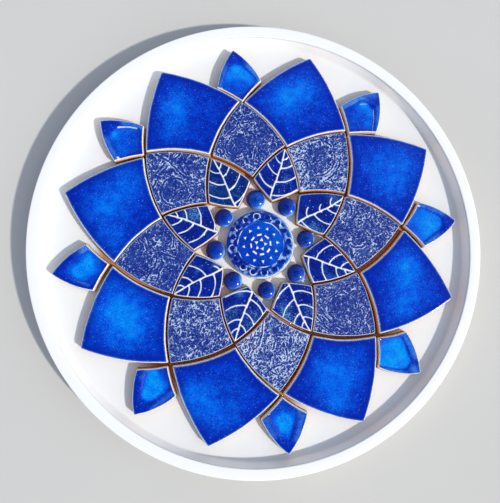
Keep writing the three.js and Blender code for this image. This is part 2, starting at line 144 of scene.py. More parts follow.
class MandalaColours(bpy.types.PropertyGroup):
    """Colours of the glazes and the clay, in linear light; a few of them paint light and shade."""

    night: colour("Night", "Petal glaze in its darkest flecks and near the edge", (0.001, 0.016, 0.34))
    cobalt: colour("Cobalt", "Petal glaze over most of the face", (0.001, 0.058, 0.64))
    azure: colour("Azure", "Petal glaze where it is thick", (0.001, 0.16, 0.81))
    turquoise: colour("Turquoise", "Glaze melted in the small petals' pools", (0.002, 0.34, 0.87))
    fleck: colour("Fleck", "Pale flecks in the petal glaze", (0.09, 0.25, 0.8))
    navy: colour("Navy", "Leaf tile glaze in its darkest flecks", (0.002, 0.009, 0.18))
    indigo: colour("Indigo", "Leaf tile glaze over most of the face", (0.003, 0.03, 0.38))
    lagoon: colour("Lagoon", "Leaf tile glaze where it is thin and paler", (0.08, 0.27, 0.62))
    slate: colour("Slate", "Leaf tile glaze fired greener than the rest", (0.006, 0.05, 0.2))
    ink: colour("Ink", "Glaze in the hollows of the textured tiles", (0.002, 0.018, 0.24))
    steel: colour("Steel", "Glaze over most of the textured tiles", (0.045, 0.11, 0.38))
    mist: colour("Mist", "Glaze on the crests of the textured tiles", (0.55, 0.67, 0.82))
    deep: colour("Deep", "Cabochon glaze in its darkest flecks", (0.001, 0.008, 0.2))
    royal: colour("Royal", "Cabochon glaze over the dome", (0.001, 0.05, 0.55))
    rim_blue: colour("Rim blue", "Blue glaze just before it breaks to white", (0.1, 0.3, 0.75))
    # On the cabochons this colour also paints a pale crescent on the sun's side of the foot, a painted
    # highlight
    shallow: colour("Shallow", "Pale blue glaze pooled round the medallion's ornament", (0.15, 0.42, 0.85))
    night_sky: colour("Night sky", "Deepest glaze of the domed pieces", (0.0008, 0.004, 0.1))
    halo: colour("Halo", "Thin glaze beside the leaf veins", (0.16, 0.34, 0.72))
    sand: colour("Sand", "Worn warm places on the textured tiles", (0.66, 0.63, 0.5))
    haze: colour("Haze", "Milky glaze between the medallion's studs", (0.42, 0.6, 0.8))
    # Painted shade: a darker line laid in the crease under the rim
    crease: colour("Crease", "Thick glaze in the crease under the rim", (0.36, 0.4, 0.52))
    # Painted shade: brown laid on the tray's floor in the joints between the tiles, where shade falls
    dust: colour("Dust", "Clay dust in the joints between the tiles", (0.56, 0.28, 0.13))
    # Painted light: lighter white laid under the middle of the pattern where the tiles' shade falls, on the
    # well's wall as bounce light, and on the rim's top
    painted_light_white: colour("Glare", "Fresh white glaze under the middle of the pattern", (0.93, 0.935, 0.94))
    slip: colour("Slip", "White where glaze breaks thin over an edge", (0.86, 0.86, 0.84))
    cream: colour("Cream", "Glazed flank of a tile", (0.8, 0.68, 0.48))
    clay: colour("Clay", "Bare fired clay", (0.8, 0.34, 0.11))
    # Also painted shade: the same dark colour darkens a tile's side toward its foot, down in the joints
    soot_and_gap_shade: colour("Soot And Gap Shade", "Dark grains in the bare clay", (0.12, 0.04, 0.015))
    white: colour("White", "Tray glaze", (0.855, 0.87, 0.885))
    bisque: colour("Bisque", "Unglazed foot of the tray", (0.62, 0.55, 0.45))
    ground: colour("Floor", "The studio floor", (0.6, 0.59, 0.57))


# Plane curves and tile outlines


def polar(radius, angle):
    return np.array([radius * cos(angle), radius * sin(angle)])


def turned(points, angle):
    c, s = cos(angle), sin(angle)
    return points @ np.array([[c, s], [-s, c]])


def side_arc(start, end, swell, set_back):
    """The circle of a side that swells by a share of its length, moved in by its set back."""
    chord = end - start
    length = hypot(*chord)
    rise = abs(swell) * length
    radius = (length * length / 4 + rise * rise) / (2 * rise)
    outward = np.array([chord[1], -chord[0]]) / length
    side = 1 if swell > 0 else -1
    centre = (start + end) / 2 - outward * side * (radius - rise)
    return Arc(centre, radius - side * set_back, side)


def shrunk(arc, amount):
    return Arc(arc.centre, arc.radius - arc.side * amount, arc.side)


def crossing(first, second, near):
    """Where two circles cross, of the two places the one nearer to a point."""
    between = second.centre - first.centre
    distance = hypot(*between)
    along = (distance**2 + first.radius**2 - second.radius**2) / (2 * distance)
    across = sqrt(max(first.radius**2 - along**2, 0))
    unit = between / distance
    foot = first.centre + unit * along
    normal = np.array([-unit[1], unit[0]])
    options = [foot + normal * across, foot - normal * across]
    return min(options, key=lambda point: hypot(*(point - near)))


def on_arc(arc, toward):
    """The place on a circle that lies in the direction of a point."""
    ray = toward - arc.centre
    return arc.centre + ray * arc.radius / hypot(*ray)


def arc_points(centre, start, end, steps):
    """Points on a circle from start to end, the shorter way round."""
    first, last = start - centre, end - centre
    sweep = (atan2(last[1], last[0]) - atan2(first[1], first[0]) + pi) % (2 * pi) - pi
    angles = np.linspace(0, sweep, steps + 1)
    return centre + np.array([turned(first, angle) for angle in angles])


def side_arcs(form, inset):
    count = len(form.corners)
    return [
        side_arc(form.corners[i], form.corners[(i + 1) % count], form.swells[i], form.set_backs[i] + inset)
        for i in range(count)
    ]


def corner_round(before, after, radius, corner):
    """Where the side before ends, the round's middle, where the side after starts, and its centre."""
    if radius <= 0:
        point = crossing(before, after, corner)
        return point, point, point, point
    centre = crossing(shrunk(before, radius), shrunk(after, radius), corner)
    arrive, leave = on_arc(before, centre), on_arc(after, centre)
    ray = arrive + leave - 2 * centre
    return arrive, centre + ray * radius / hypot(*ray), leave, centre


def resampled(points, steps):
    """The same line with points at equal distances."""
    lengths = np.hypot(*np.diff(points, axis=0).T)
    along = np.concatenate([[0], np.cumsum(lengths)])
    places = np.linspace(0, along[-1], steps + 1)
    return np.stack([np.interp(places, along, points[:, axis]) for axis in (0, 1)], axis=1)


ARC_STEPS = 60
ROUND_STEPS = 4


def outline_sides(form, inset, steps):
    """The four sides, each from the middle of one rounded corner to the middle of the next."""
    arcs = side_arcs(form, inset)
    count = len(arcs)
    rounds = [
        corner_round(arcs[i - 1], arcs[i], form.rounds[i] - inset, form.corners[i]) for i in range(count)
    ]
    sides = []
    for i, arc in enumerate(arcs):
        _, middle, leave, centre = rounds[i]
        arrive, next_middle, _, next_centre = rounds[(i + 1) % count]
        pieces = [arc_points(arc.centre, leave, arrive, ARC_STEPS)]
        if form.rounds[i] > inset:
            pieces.insert(0, arc_points(centre, middle, leave, ROUND_STEPS)[:-1])
        if form.rounds[(i + 1) % count] > inset:
            pieces.append(arc_points(next_centre, arrive, next_middle, ROUND_STEPS)[1:])
        sides.append(resampled(np.concatenate(pieces), steps))
    return sides


def edge_distance(form, points):
    """How far each point lies inside the nearest side."""
    gaps = [
        arc.side * (arc.radius - np.hypot(*(points - arc.centre).T)) for arc in side_arcs(form, 0)
    ]
    return np.min(gaps, axis=0)


def patch(sides):
    """A square grid of points that fills the outline, row by row from the first side."""
    first, second, third, fourth = sides
    third, fourth = third[::-1], fourth[::-1]
    steps = len(first)
    u = np.linspace(0, 1, steps)[None, :, None]
    v = np.linspace(0, 1, steps)[:, None, None]
    ruled = (1 - v) * first[None] + v * third[None] + (1 - u) * fourth[:, None] + u * second[:, None]
    corners = (
        (1 - u) * (1 - v) * first[0] + u * (1 - v) * first[-1] + u * v * third[-1] + (1 - u) * v * third[0]
    )
    return (ruled - corners).reshape(-1, 2)


def patch_rim(steps):
    """Indices of the patch's outer points, in the order of its sides."""
    row = steps + 1
    first = np.arange(steps)
    second = steps + row * np.arange(steps)
    third = row * steps + np.arange(steps, 0, -1)
    fourth = row * np.arange(steps, 0, -1)
    return np.concatenate([first, second, third, fourth])


# Surface noise and soft steps


def smooth_step(low, high, values):
    share = np.clip((values - low) / (high - low), 0, 1)
    return share * share * (3 - 2 * share)


# How far one seed's noise lies from the next one's
SEED_SHIFT = np.array([7.3, -3.1, 1.7])


def wander(points, size, seed):
    """Smooth noise from about -1 to 1, its bumps about size apart."""
    right, up, deep = SEED_SHIFT * seed
    return np.array([noise.noise(Vector((x + right, y + up, deep))) for x, y in points / size])


def drift(points, size, *seeds):
    """Two smooth noises side by side, as a shift in the plane."""
    return np.stack([wander(points, size, seed) for seed in seeds], axis=1)


def distance_to_line(points, line):
    """Distance to a polyline, and how far along it the nearest place lies, from 0 to 1."""
    best = np.full(len(points), 1e9)
    share = np.zeros(len(points))
    spans = len(line) - 1
    for i in range(spans):
        start, run = line[i], line[i + 1] - line[i]
        along = np.clip((points - start) @ run / (run @ run), 0, 1)
        gap = np.hypot(*(points - start - along[:, None] * run).T)
        nearer = gap < best
        best = np.where(nearer, gap, best)
        share = np.where(nearer, (i + along) / spans, share)
    return best, share


def curve_line(start, bend, end, steps):
    """A curve from start to end that is drawn toward its bend."""
    t = np.linspace(0, 1, steps + 1)[:, None]
    return (1 - t) ** 2 * np.array(start) + 2 * t * (1 - t) * np.array(bend) + t**2 * np.array(end)


def ring_line(centre, radius, start, end):
    """Part of a circle as a line, from one angle to another in degrees."""
    angles = np.radians(np.linspace(start, end, 13))
    return np.array(centre) + radius * np.stack([np.cos(angles), np.sin(angles)], axis=1)


def inside_corners(points, corners, round_off):
    """How far each point lies inside a shape of counterclockwise corners, its corners rounded."""
    total = np.zeros(len(points))
    for start, end in zip(corners, np.roll(corners, -1, axis=0)):
        run = (end - start) / hypot(*(end - start))
        total += np.exp(-(points - start) @ np.array([-run[1], run[0]]) / round_off)
    return -round_off * np.log(total)


# Meshes

SHARP_ANGLE = radians(55)


def add_piece(name, vertices, faces, marks, material, nodes):
    """Makes a closed mesh in the frame, with its marks as point attributes, puts it under the root body and
    hides the parts of its nodes.
    """
    mesh = bpy.data.meshes.new(name)
    mesh.from_pydata(vertices, [], faces)
    mesh.validate()
    for mark, values in marks.items():
        attribute = mesh.attributes.new(mark, "FLOAT", "POINT")
        attribute.data.foreach_set("value", np.asarray(values, np.float32))
    mesh.shade_smooth()
    mesh.set_sharp_from_angle(angle=SHARP_ANGLE)
    mesh.materials.append(material)
    made = bpy.data.objects.new(name, mesh)
    bpy.context.scene.collection.objects.link(made)
    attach(made, "root")
    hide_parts(*nodes)


def add_numbered(kind, index, vertices, faces, marks, material):
    """Adds one of several like pieces, and hides the part of the node of its number."""
    number = index + 1
    add_piece(f"{kind}_glazed_{number}", vertices, faces, marks, material, [f"{kind}_{number}"])


def band(inner, outer):
    """Quads between two rings of points of one length, the outer one farther out or lower down."""
    return np.stack([inner, outer, np.roll(outer, -1), np.roll(inner, -1)], axis=1)


LIP_STEPS = 5
WALL_SHARES = [0.15, 0.33, 0.55, 0.78, 0.94]
FOOT_BEVEL = 0.3 * MM
# How far a tile's face warps in the fire, and over what distance
WARP = 0.1 * MM
WARP_SIZE = 13 * MM
# Over what distance a hand-cut edge wanders
HAND_WAVE_SIZE = 8 * MM
# Where the face's own relief starts to die away toward the edge, in widths of the lip
RELIEF_FADE = 1.6


def edge_loops(sizes, lip):
    """Inset from the outline and drop from the face, from the lip down to the back of a tile."""
    lip_drop = sizes.lip_drop * lip
    wall = TILE_THICKNESS - lip_drop
    loops = []
    for i in range(1, LIP_STEPS + 1):
        angle = pi / 2 * i / LIP_STEPS
        loops.append((sizes.lip_width * lip * (1 - sin(angle)), lip_drop * (1 - cos(angle))))
    loops += [(-sizes.wall_slope * share, lip_drop + wall * share) for share in WALL_SHARES]
    return loops + [(FOOT_BEVEL - sizes.wall_slope, TILE_THICKNESS)]


def tile_faces(steps, field_count, ring_length, ring_count):
    """Quads over the face, bands of quads down the side, and the back as one face."""
    row = steps + 1
    corner = (row * np.arange(steps)[:, None] + np.arange(steps)).ravel()
    face = np.stack([corner, corner + 1, corner + row + 1, corner + row], axis=1)
    rings = [field_count + ring_length * i + np.arange(ring_length) for i in range(ring_count)]
    rings.insert(0, patch_rim(steps))
    bands = [band(inner, outer) for inner, outer in zip(rings, rings[1:])]
    return [*np.concatenate([face, *bands]).tolist(), rings[-1][::-1].tolist()]


def tile_mesh(sizes, kind, index, surface):
    """Points, faces and marks of one tile in its own place: x outward, y round, z up from its back.

    surface gives the rise of the face at each point and the marks that its glaze follows.
    """
    form = form_of(kind, sizes.tile_gap)
    seed = kind.seed + index
    lip = sizes.lip_width * kind.lip
    loops = edge_loops(sizes, kind.lip)
    field = patch(outline_sides(form, lip, kind.steps))
    sides = [outline_sides(form, inset, kind.steps) for inset, _ in loops]
    rings = [np.concatenate([side[:-1] for side in four]) for four in sides]
    flat = np.concatenate([field, *rings])
    ring_length = len(rings[0])
    drop = np.concatenate([np.zeros(len(field)), np.repeat([drop for _, drop in loops], ring_length)])
    edge = np.clip(edge_distance(form, flat), 0, None)
    edge[len(field) + LIP_STEPS * ring_length :] = 0
    rise, marks = surface(flat, edge)
    on_face = smooth_step(0, lip * RELIEF_FADE, edge)
    warp = WARP * wander(flat, WARP_SIZE, seed + 0.5)
    up = TILE_THICKNESS - drop + rise * on_face + warp * (1 - drop / TILE_THICKNESS)
    up = np.minimum(up, TILE_THICKNESS + sizes.vein_height)
    bent = flat + sizes.hand_wave * drift(flat, HAND_WAVE_SIZE, seed + 11, seed + 23)
    run = np.full(len(flat), kind.runs[index])
    marks = {**marks, "edge": edge / (kind.lip * MM), "drop": drop / MM, "run": run}
    faces = tile_faces(kind.steps, len(field), ring_length, len(rings))
    return np.column_stack([bent, up]), faces, marks


def laid(points, angle, place=(0, 0, 0), about=0):
    """Moves a piece's points from its own place to where it lies in the tray."""
    outward, round_, turn = place
    pivot = np.array([about, 0])
    flat = turned(points[:, :2] - pivot, radians(turn)) + pivot + np.array([outward, round_]) * MM
    flat = turned(flat, angle) + np.array(PATTERN_CENTRE)
    return np.column_stack([flat, points[:, 2] + FLOOR])


CORNER_ROUND = 0.5 * MM
# One kind of tile. radii are those of its inner corner, its sides and its tip, and swells those of its
# inner and outer sides. runs says how far the glaze runs down each tile's cut side, in millimetres, and
# lip is the share of the full lip that the edge has. The rest, with defaults: the angle of the side
# corners and of the whole tile, what sets the inner sides back past the joint, whether the outer sides
# have a joint, and how the tip is rounded.
Kind = namedtuple(
    "Kind",
    "name slot radii swells steps seed runs lip places turn side_angle inner_back outer_joint tip_round",
    defaults=[0, HALF_FOLD, 0, 1, CORNER_ROUND],
)


def form_of(kind, gap):
    """The outline of a kind of tile, its sides set back from the drawn lines by the joints."""
    inner, side, tip = kind.radii
    angle = kind.side_angle
    inner_swell, outer_swell = kind.swells
    inner_back = gap / 2 + kind.inner_back
    outer_back = gap / 2 * kind.outer_joint
    return Form(
        [polar(inner, 0), polar(side, -angle), polar(tip, 0), polar(side, angle)],
        [inner_swell, outer_swell, outer_swell, inner_swell],
        [inner_back, outer_back, outer_back, inner_back],
        [CORNER_ROUND, CORNER_ROUND, kind.tip_round, CORNER_ROUND],
    )


def add_tile(kiln, kind, index, surface, material):
    """Presses one tile of a kind with its own surface, and lays it in its place."""
    points, faces, marks = tile_mesh(kiln.sizes, kind, index, surface)
    middle = (kind.radii[0] + kind.radii[-1]) / 2
    place = laid(points, FOLD_ANGLE * index + kind.turn, kind.places[index], middle)
    add_numbered(kind.name, index, place, faces, marks, material)


# Large petals: a plain glossy face, with a lighter cloud where the glaze is thick

# Each petal's clouds: outward place, place round, reach and strength
LARGE_CLOUDS = [
    [(110, 0, 14, 0.7), (97, -7, 13, 0.55), (94, 14, 9, 0.35)],
    [(101, 9, 13, 1.0), (110, -3, 10, 0.7)],
    [(108, 3, 10, 1.0), (96, 13, 11, 0.45)],
    [(105, 2, 12, 0.9), (96, -16, 12, 0.65), (94, 20, 11, 0.55)],
    [(101, 1, 15, 1.3), (100, -15, 12, 0.75)],
    [(108, -8, 12, 0.8), (112, 8, 9, 0.6), (101, -18, 9, 0.5), (90, 8, 8, 0.3)],
    [(104, -5, 13, 0.65), (97, 8, 12, 0.55), (112, -10, 9, 0.5), (90, -4, 10, 0.4)],
    [(97, 13, 10, 0.95), (103, -2, 13, 0.85), (101, -18, 9, 0.45)],
]
# How deep a petal's face is dished, and between which distances from the edge it sinks
LARGE_DISH = 0.12 * MM
DISH_BANK = (1 * MM, 14 * MM)
LARGE_PETAL = Kind(
    name="large_petal",
    slot="petal_glaze",
    radii=(LEAF_OUTER, TEXTURED_OUTER, LARGE_TIP),
    swells=(-TEXTURED_SWELL, LARGE_SWELL),
    steps=52,
    seed=1,
    runs=[1.3, 1.3, 5.5, 4.0, 1.6, 2.6, 1.4, 1.2],
    lip=1.0,
    places=LARGE_PLACES,
    turn=HALF_FOLD,
    tip_round=2.6 * MM,
)


def cloud_mark(points, clouds):
    """Soft round clouds, each with its own place, reach and strength."""
    total = np.zeros(len(points))
    for outward, round_, reach, strength in clouds:
        away = np.hypot(*(points - np.array([outward, round_]) * MM).T) / (reach * MM)
        total += strength * np.exp(-(away**2))
    return total


def large_petal(kiln, index, material):
    def surface(flat, edge):
        uneven = 1 + 0.35 * wander(flat, 5 * MM, index + 40)
        plain = np.zeros(len(flat))
        marks = {"cloud": cloud_mark(flat, LARGE_CLOUDS[index]) * uneven, "relief": plain, "band": plain}
        return -LARGE_DISH * smooth_step(*DISH_BANK, edge), marks

    add_tile(kiln, LARGE_PETAL, index, surface, material)


# Small petals: a sunk pool of turquoise inside a deeper blue border

POOL_ROUND = 0.9 * MM
# Each pool's corners, outward and round
SMALL_POOLS = [
    [(100, 0.5), (110, -13.5), (125.5, -3.5), (125.5, 4.5), (110, 13.5)],
    [(100.5, 1), (110.5, -13), (124, -4.5), (124.5, 6), (109.5, 13)],
    [(101, 0.5), (112, -13.5), (125.5, -3.5), (125.5, 5), (110, 13.5)],
    [(102.5, 0), (111.5, -13), (125, -5), (125, 5), (109.5, 12.5)],
    [(99.5, -0.5), (108.5, -12.5), (126, -3.5), (126, 4.5), (109.5, 11.5)],
    [(99.5, -0.5), (106.5, -10.5), (125.5, -3.5), (125.5, 3.5), (115.5, 8.5), (108.5, 9.5)],
    [(99, -0.5), (108, -10.5), (126, -3.5), (126, 2.5), (108, 9.5)],
    [(100, 0), (110, -15), (126.5, -5), (126.5, 2.5), (110, 12)],
]
# Each pool's brightest places: outward, round, reach and strength
SMALL_CLOUDS = [
    [(118, 0.5, 9, 0.75), (113, -6.5, 6, 0.4), (109, 4.5, 6, 0.25)],
    [(121.5, 3, 4, 0.9), (119.5, -4, 4, 0.75), (112.5, -8, 4, 0.55)],
    [(120, 0.5, 5, 0.95), (116, -6.5, 6, 0.75), (117, 6.5, 4, 0.6)],
    [(122.5, 1, 4, 0.9), (119.5, -6, 4, 0.6), (111.5, 6, 6, 0.3)],
    [(112.5, 0.5, 4.5, 1.5), (118.5, 1.5, 4.5, 1.3), (110.5, -5.5, 4, 1.0)],
    [(108.5, -4.5, 4, 1.3), (113.5, 0.5, 6, 1.6), (119.5, -0.5, 4.5, 1.3)],
    [(113, 1.5, 4, 1.1), (118, -0.5, 5, 1.3), (112, -3.5, 4, 0.8)],
    [(108, -4, 6, 0.9), (112, -8, 5, 1.1), (117, -3, 7, 1.4), (112, 5, 5, 0.8)],
]
# How evenly melted each pool is all over, and how far its brightest places go past that
POOL_BASE = [0.55, 0.35, 0.5, 0.4, 0.35, 0.3, 0.3, 0.75]
MELT_MOST = 1.8
# How far a pool's bank slopes to either side of its outline
POOL_BANK = 1.4 * MM
# Where each petal's border is paler: a line, its width and strength
SMALL_BANDS = [
    [((111, 12.5), (126, 7), 2.6, 0.6), ((112, -13), (121, -9.5), 2.4, 0.6)],
    [
        ((107, 12.5), (124, 7.5), 5.0, 0.85),
        ((124, 7.5), (132, 1), 2.4, 0.5),
        ((113, -14), (126, -7), 2.2, 0.5),
    ],
    [((109, 13), (124, 7), 2.4, 0.5), ((111, -13), (120, -10), 4.5, 0.9)],
    [((111, 13), (124, 8), 2.4, 0.6), ((110, -13.5), (122, -9), 2.2, 0.6)],
    [((113, 11), (123, 5), 1.0, 0.5), ((109, -8), (112, -12), 4.5, 0.75)],
    [((111, 12), (126, 7), 1.6, 0.35), ((107, -8), (112, -8), 2.4, 0.5)],
    [((112, 12), (126, 6), 1.8, 0.45), ((112, -12), (122, -9), 2.4, 0.5), ((103, 3), (109, 9), 3.5, 0.5)],
    [((111, 12), (126, 7), 2.6, 0.7), ((114, -15), (127, -8), 3.0, 0.75), ((130, -1), (134, -2), 3.0, 0.6)],
]
# White streaks on a pool's bank: mostly a painted highlight along the banks, and at some corners the glaze
# pulled off to white. Each is a line, its width and strength
SMALL_GLINTS_AND_SCARS = [
    [((108, 13), (111, 12.7), 1.0, 0.8)],
    [
        ((109.6, -12.4), (116.6, -8.7), 0.5, 0.65),
        ((116.6, -8.7), (122.6, -4.2), 0.5, 0.7),
        ((120, 5.3), (123, 1.8), 0.6, 0.7),
    ],
    [((107.5, 12.3), (110, 12.3), 0.9, 0.8)],
    [
        ((123.3, -4), (120.3, -7), 0.8, 0.9),
        ((120.3, -7), (113.3, -11), 0.7, 0.8),
        ((108, 12), (110.5, 12), 1.2, 0.9),
    ],
    [((107, -9), (109.5, -11.4), 0.8, 0.55)],
    [((107, -8.5), (109, -8.5), 0.6, 0.5)],
    [],
    [((104, -8.2), (108.5, -12.7), 0.6, 0.5)],
]
SMALL_PETAL = Kind(
    name="small_petal",
    slot="petal_glaze",
    radii=(TEXTURED_OUTER, SMALL_SIDE, SMALL_TIP),
    swells=(-SMALL_INNER_SWELL, SMALL_SWELL),
    steps=72,
    seed=11,
    runs=[2.8, 3.5, 1.5, 1.8, 4.5, 1.6, 3.5, 2.0],
    lip=0.7,
    places=SMALL_PLACES,
    side_angle=SMALL_SIDE_ANGLE,
    outer_joint=0,
    tip_round=1.2 * MM,
)


def stroke_mark(points, strokes):
    """Soft strokes, each along a straight line with its own width and strength."""
    total = np.zeros(len(points))
    for start, end, width, strength in strokes:
        gap, _ = distance_to_line(points, np.array([start, end]) * MM)
        total = np.maximum(total, strength * np.exp(-((gap / (width * MM)) ** 2)))
    return total


def small_petal(kiln, index, material):
    corners = np.array(SMALL_POOLS[index]) * MM

    def surface(flat, edge):
        bent = flat + 0.4 * MM * drift(flat, 3 * MM, index + 67, index + 69)
        inside = inside_corners(bent, corners, POOL_ROUND) + 0.15 * MM * wander(flat, 1.3 * MM, index + 65)
        melt = np.minimum(cloud_mark(bent, SMALL_CLOUDS[index]), MELT_MOST)
        melt = POOL_BASE[index] + melt * (1 + 0.2 * wander(flat, 3 * MM, index + 63))
        border = 1 - smooth_step(-0.8 * MM, 0.8 * MM, inside)
        marks = {
            "cloud": melt * smooth_step(-0.2 * MM, 1.6 * MM, inside),
            "relief": stroke_mark(bent, SMALL_GLINTS_AND_SCARS[index]),
            "band": stroke_mark(bent, SMALL_BANDS[index]) * border,
        }
        return -kiln.sizes.pool_depth * smooth_step(-POOL_BANK, POOL_BANK, inside), marks

    add_tile(kiln, SMALL_PETAL, index, surface, material)


# Leaf tiles: every one is pressed with the same leaf

MIDRIB = [(28.6, 0.9), (32, 1.1), (37, 0.9), (42, 0.1), (47, -0.2), (52, -0.8), (57, -0.7), (65, -0.4)]
MIDRIB_WIDTH = 0.62 * MM
SIDE_VEIN_WIDTH = 0.42 * MM
# Each side vein's root and tip
SIDE_VEINS = [
    ((31.7, 1.0), (40, -14.8)),
    ((36.6, 0.9), (45.3, 13.2)),
    ((41.3, 0.1), (48.3, -12)),
    ((46.05, -0.2), (53.4, 9.2)),
    ((51.1, -0.7), (56.2, -8.3)),
    ((54.3, -0.7), (59, 5.2)),
    ((57.1, -0.7), (60.7, -4.2)),
]
SIDE_VEIN_BEND = (0.08, 0.6)
# How the stamp came down on each tile: outward, round and turn in degrees
LEAF_STAMPS = [
    (0.4, -0.7, 0), (0.7, 0.6, -1), (0.5, 0.1, -1.5), (-0.1, -1.4, 0.4),
    (0.3, 0, 1.2), (0.1, 1.4, -2.6), (0.8, 0.7, -3.6), (1.6, -0.5, 0.9),
]
# Side veins that came out short: tile, vein and share of its length
SHORT_VEINS = {(0, 1): 0.42, (0, 3): 0.4, (0, 5): 0.7, (4, 0): 0.25}
VEIN_WEB = 0.22 * MM
# How far the face lies below the drawn height, as a share of the veins' height
VEIN_SINK = 0.2
# Paler places on each leaf tile: outward place, place round, reach and strength
LEAF_CLOUDS = [
    [(36.5, -8.5, 3.5, 0.9), (39.5, -12.5, 3, 0.6), (58.5, 1.5, 4, 0.5)],
    [(44.5, -6, 3, 0.5), (31.5, -2, 2.5, 0.4), (54.5, -5, 3, 0.4)],
    [(36, -4, 3, 0.4), (50, 7, 3, 0.3)],
    [(46, -5.5, 3.2, 1.1), (48, -8.5, 3, 0.9), (52, -3.5, 3, 0.5)],
    [(33, -3, 3, 0.5), (45, -6, 2.5, 0.4)],
    [
        (46.5, -5.5, 3.5, 0.8), (52.5, -8.5, 3, 1.0), (46.5, 8.5, 4, 0.7), (54.5, 6.5, 3, 0.6),
        (34.5, -4.5, 2.5, 0.5),
    ],
    [(46, -8, 4, 1.0), (52, -8, 3.5, 0.8), (54, 6, 3, 0.7), (35, -6, 3, 0.4)],
    [(55.5, -6, 3, 0.5), (47.5, -8, 3, 0.35)],
]
# How green each one is fired, from 0 to 1
LEAF_GREEN = [0.1, 0, 1, 0.25, 0, 0, 0, 0]
LEAF_TILE = Kind(
    name="leaf_tile",
    slot="leaf_glaze",
    radii=(LEAF_INNER, LEAF_SIDE, LEAF_OUTER),
    swells=(LEAF_INNER_SWELL, LEAF_SWELL),
    steps=104,
    seed=21,
    runs=[0.9] * FOLDS,
    lip=0.6,
    places=LEAF_PLACES,
    turn=HALF_FOLD,
    inner_back=0.25 * MM,
)


def leaf_lines(index):
    """The midrib and side veins as lines with their widths, as the stamp pressed them on one tile."""
    outward, round_, turn = LEAF_STAMPS[index]
    pivot = np.array([(LEAF_INNER + LEAF_OUTER) / 2, 0])

    def pressed(line):
        return turned(np.array(line) * MM - pivot, radians(turn)) + pivot + np.array([outward, round_]) * MM

    lines = [(pressed(MIDRIB), MIDRIB_WIDTH)]
    for i, (root, tip) in enumerate(SIDE_VEINS):
        root, tip = np.array(root), np.array(tip)
        tip = root + (tip - root) * SHORT_VEINS.get((index, i), 1)
        bend = root + np.array(SIDE_VEIN_BEND) * (tip - root)
        lines.append((pressed(curve_line(root, bend, tip, 12)), SIDE_VEIN_WIDTH))
    return lines


def leaf_tile(kiln, index, material):
    def surface(flat, edge):
        bent = flat + 0.2 * MM * drift(flat, 2.5 * MM, index + 71, index + 83)
        nearness = np.zeros(len(flat))
        for line, width in leaf_lines(index):
            gap, share = distance_to_line(bent, line)
            half = width / 2 * (1.15 - 0.35 * share)
            nearness += np.exp(-(gap - half) / VEIN_WEB)
        beyond = -VEIN_WEB * np.log(nearness + 1e-9)
        relief = 1 - smooth_step(-0.25 * MM, 0.7 * MM, beyond)
        relief = np.clip(relief * (1 + 0.3 * wander(flat, 3.5 * MM, index + 90)), 0, 1)
        uneven = 1.3 + 0.6 * wander(flat, 3 * MM, index + 95)
        marks = {
            "relief": relief,
            "cloud": cloud_mark(flat, LEAF_CLOUDS[index]) * uneven,
            "green": np.full(len(flat), LEAF_GREEN[index]),
        }
        return kiln.sizes.vein_height * (relief - VEIN_SINK), marks

    add_tile(kiln, LEAF_TILE, index, surface, material)


# Textured tiles: a face pressed with crumpled lace

TEXTURED_TILE = Kind(
    name="textured_tile",
    slot="textured_glaze",
    radii=(LEAF_SIDE, LEAF_OUTER, TEXTURED_OUTER),
    swells=(-LEAF_SWELL, TEXTURED_SWELL),
    steps=128,
    seed=31,
    runs=[0.8] * FOLDS,
    lip=0.6,
    places=TEXTURED_PLACES,
)
# The lace's threads: how far apart they run, and the share of their noise that they take up
THREAD_SIZE = 2.5 * MM
THREAD_SHARE = 0.2
FINE_THREAD_SIZE = 1.7 * MM
FINE_THREAD_SHARE = 0.24
# How far the threads stray, and how far a fold strays slowly and quickly
THREAD_DRIFT = 1.0 * MM
FOLD_DRIFT = 0.7 * MM
FOLD_JITTER = 0.5 * MM
# A fold's groove and the crest beside it
GROOVE_WIDTH = 0.5 * MM
CREST_AWAY = 0.95 * MM
CREST_WIDTH = 0.42 * MM
# Calm round places in each tile's lace: outward place, place round and radius
CALM_PLACES = [
    [(66, -5, 5)],
    [(71, 5, 9)],
    [(66, 8, 7), (60, -6, 5)],
    [(66, 8, 9)],
    [(57, 5, 7), (82, 2, 8), (62, -14, 6)],
    [],
    [(68, 5, 6), (72, -5, 6), (54, 3, 5)],
    [(68, 0, 9)],
]
# Pressed folds in each tile's lace, as lines
FOLD_LINES = [
    [ring_line((66, -5), 6, -150, 10), ring_line((74, 11), 4, -120, 30), ring_line((60, 16), 5, -60, 60)],
    [
        ring_line((70, 5), 12.5, -160, -30),
        ring_line((70, 5), 16, -120, -50),
        ring_line((71, 5), 12, -15, 60),
        ring_line((58, 10), 5, -40, 90),
    ],
    [
        ring_line((66, 8), 7.5, -60, 200),
        np.array([(60, 15), (65, 20)]),
        np.array([(74, 14), (80, 6), (86, 1)]),
        np.array([(56, -2), (66, -6), (74, -4)]),
    ],
    [
        ring_line((66, 8), 9, -150, 120),
        np.array([(78.5, 15), (80, 4), (79, -16)]),
        np.array([(81.5, 12), (82.5, 0), (82, -14)]),
        np.array([(66, -4), (80, -5.5), (92, -4)]),
    ],
    [
        np.array([(52, 9), (57, 2), (68, -3), (73, -8), (75, -16)]),
        np.array([(68, -3), (66, 4), (72, 15)]),
        np.array([(69, 1), (74, 8), (78, 13)]),
        np.array([(58, -5), (56.5, -13)]),
        np.array([(77, -6), (80, -14)]),
    ],
    [],
    [
        np.array([(50, -5), (58, -7), (65, -10), (70, -17)]),
        np.array([(66, 6), (72, 8), (78, 7), (80, -2), (84, -9)]),
        np.array([(61, 10), (60, 2), (69, -1)]),
    ],
    [
        ring_line((68, 0), 9.5, 20, 300),
        np.array([(57, -10), (68, -13), (80, -11)]),
        np.array([(56, -14), (66, -17), (74, -17)]),
        np.array([(60, 6), (57, -4)]),
    ],
]
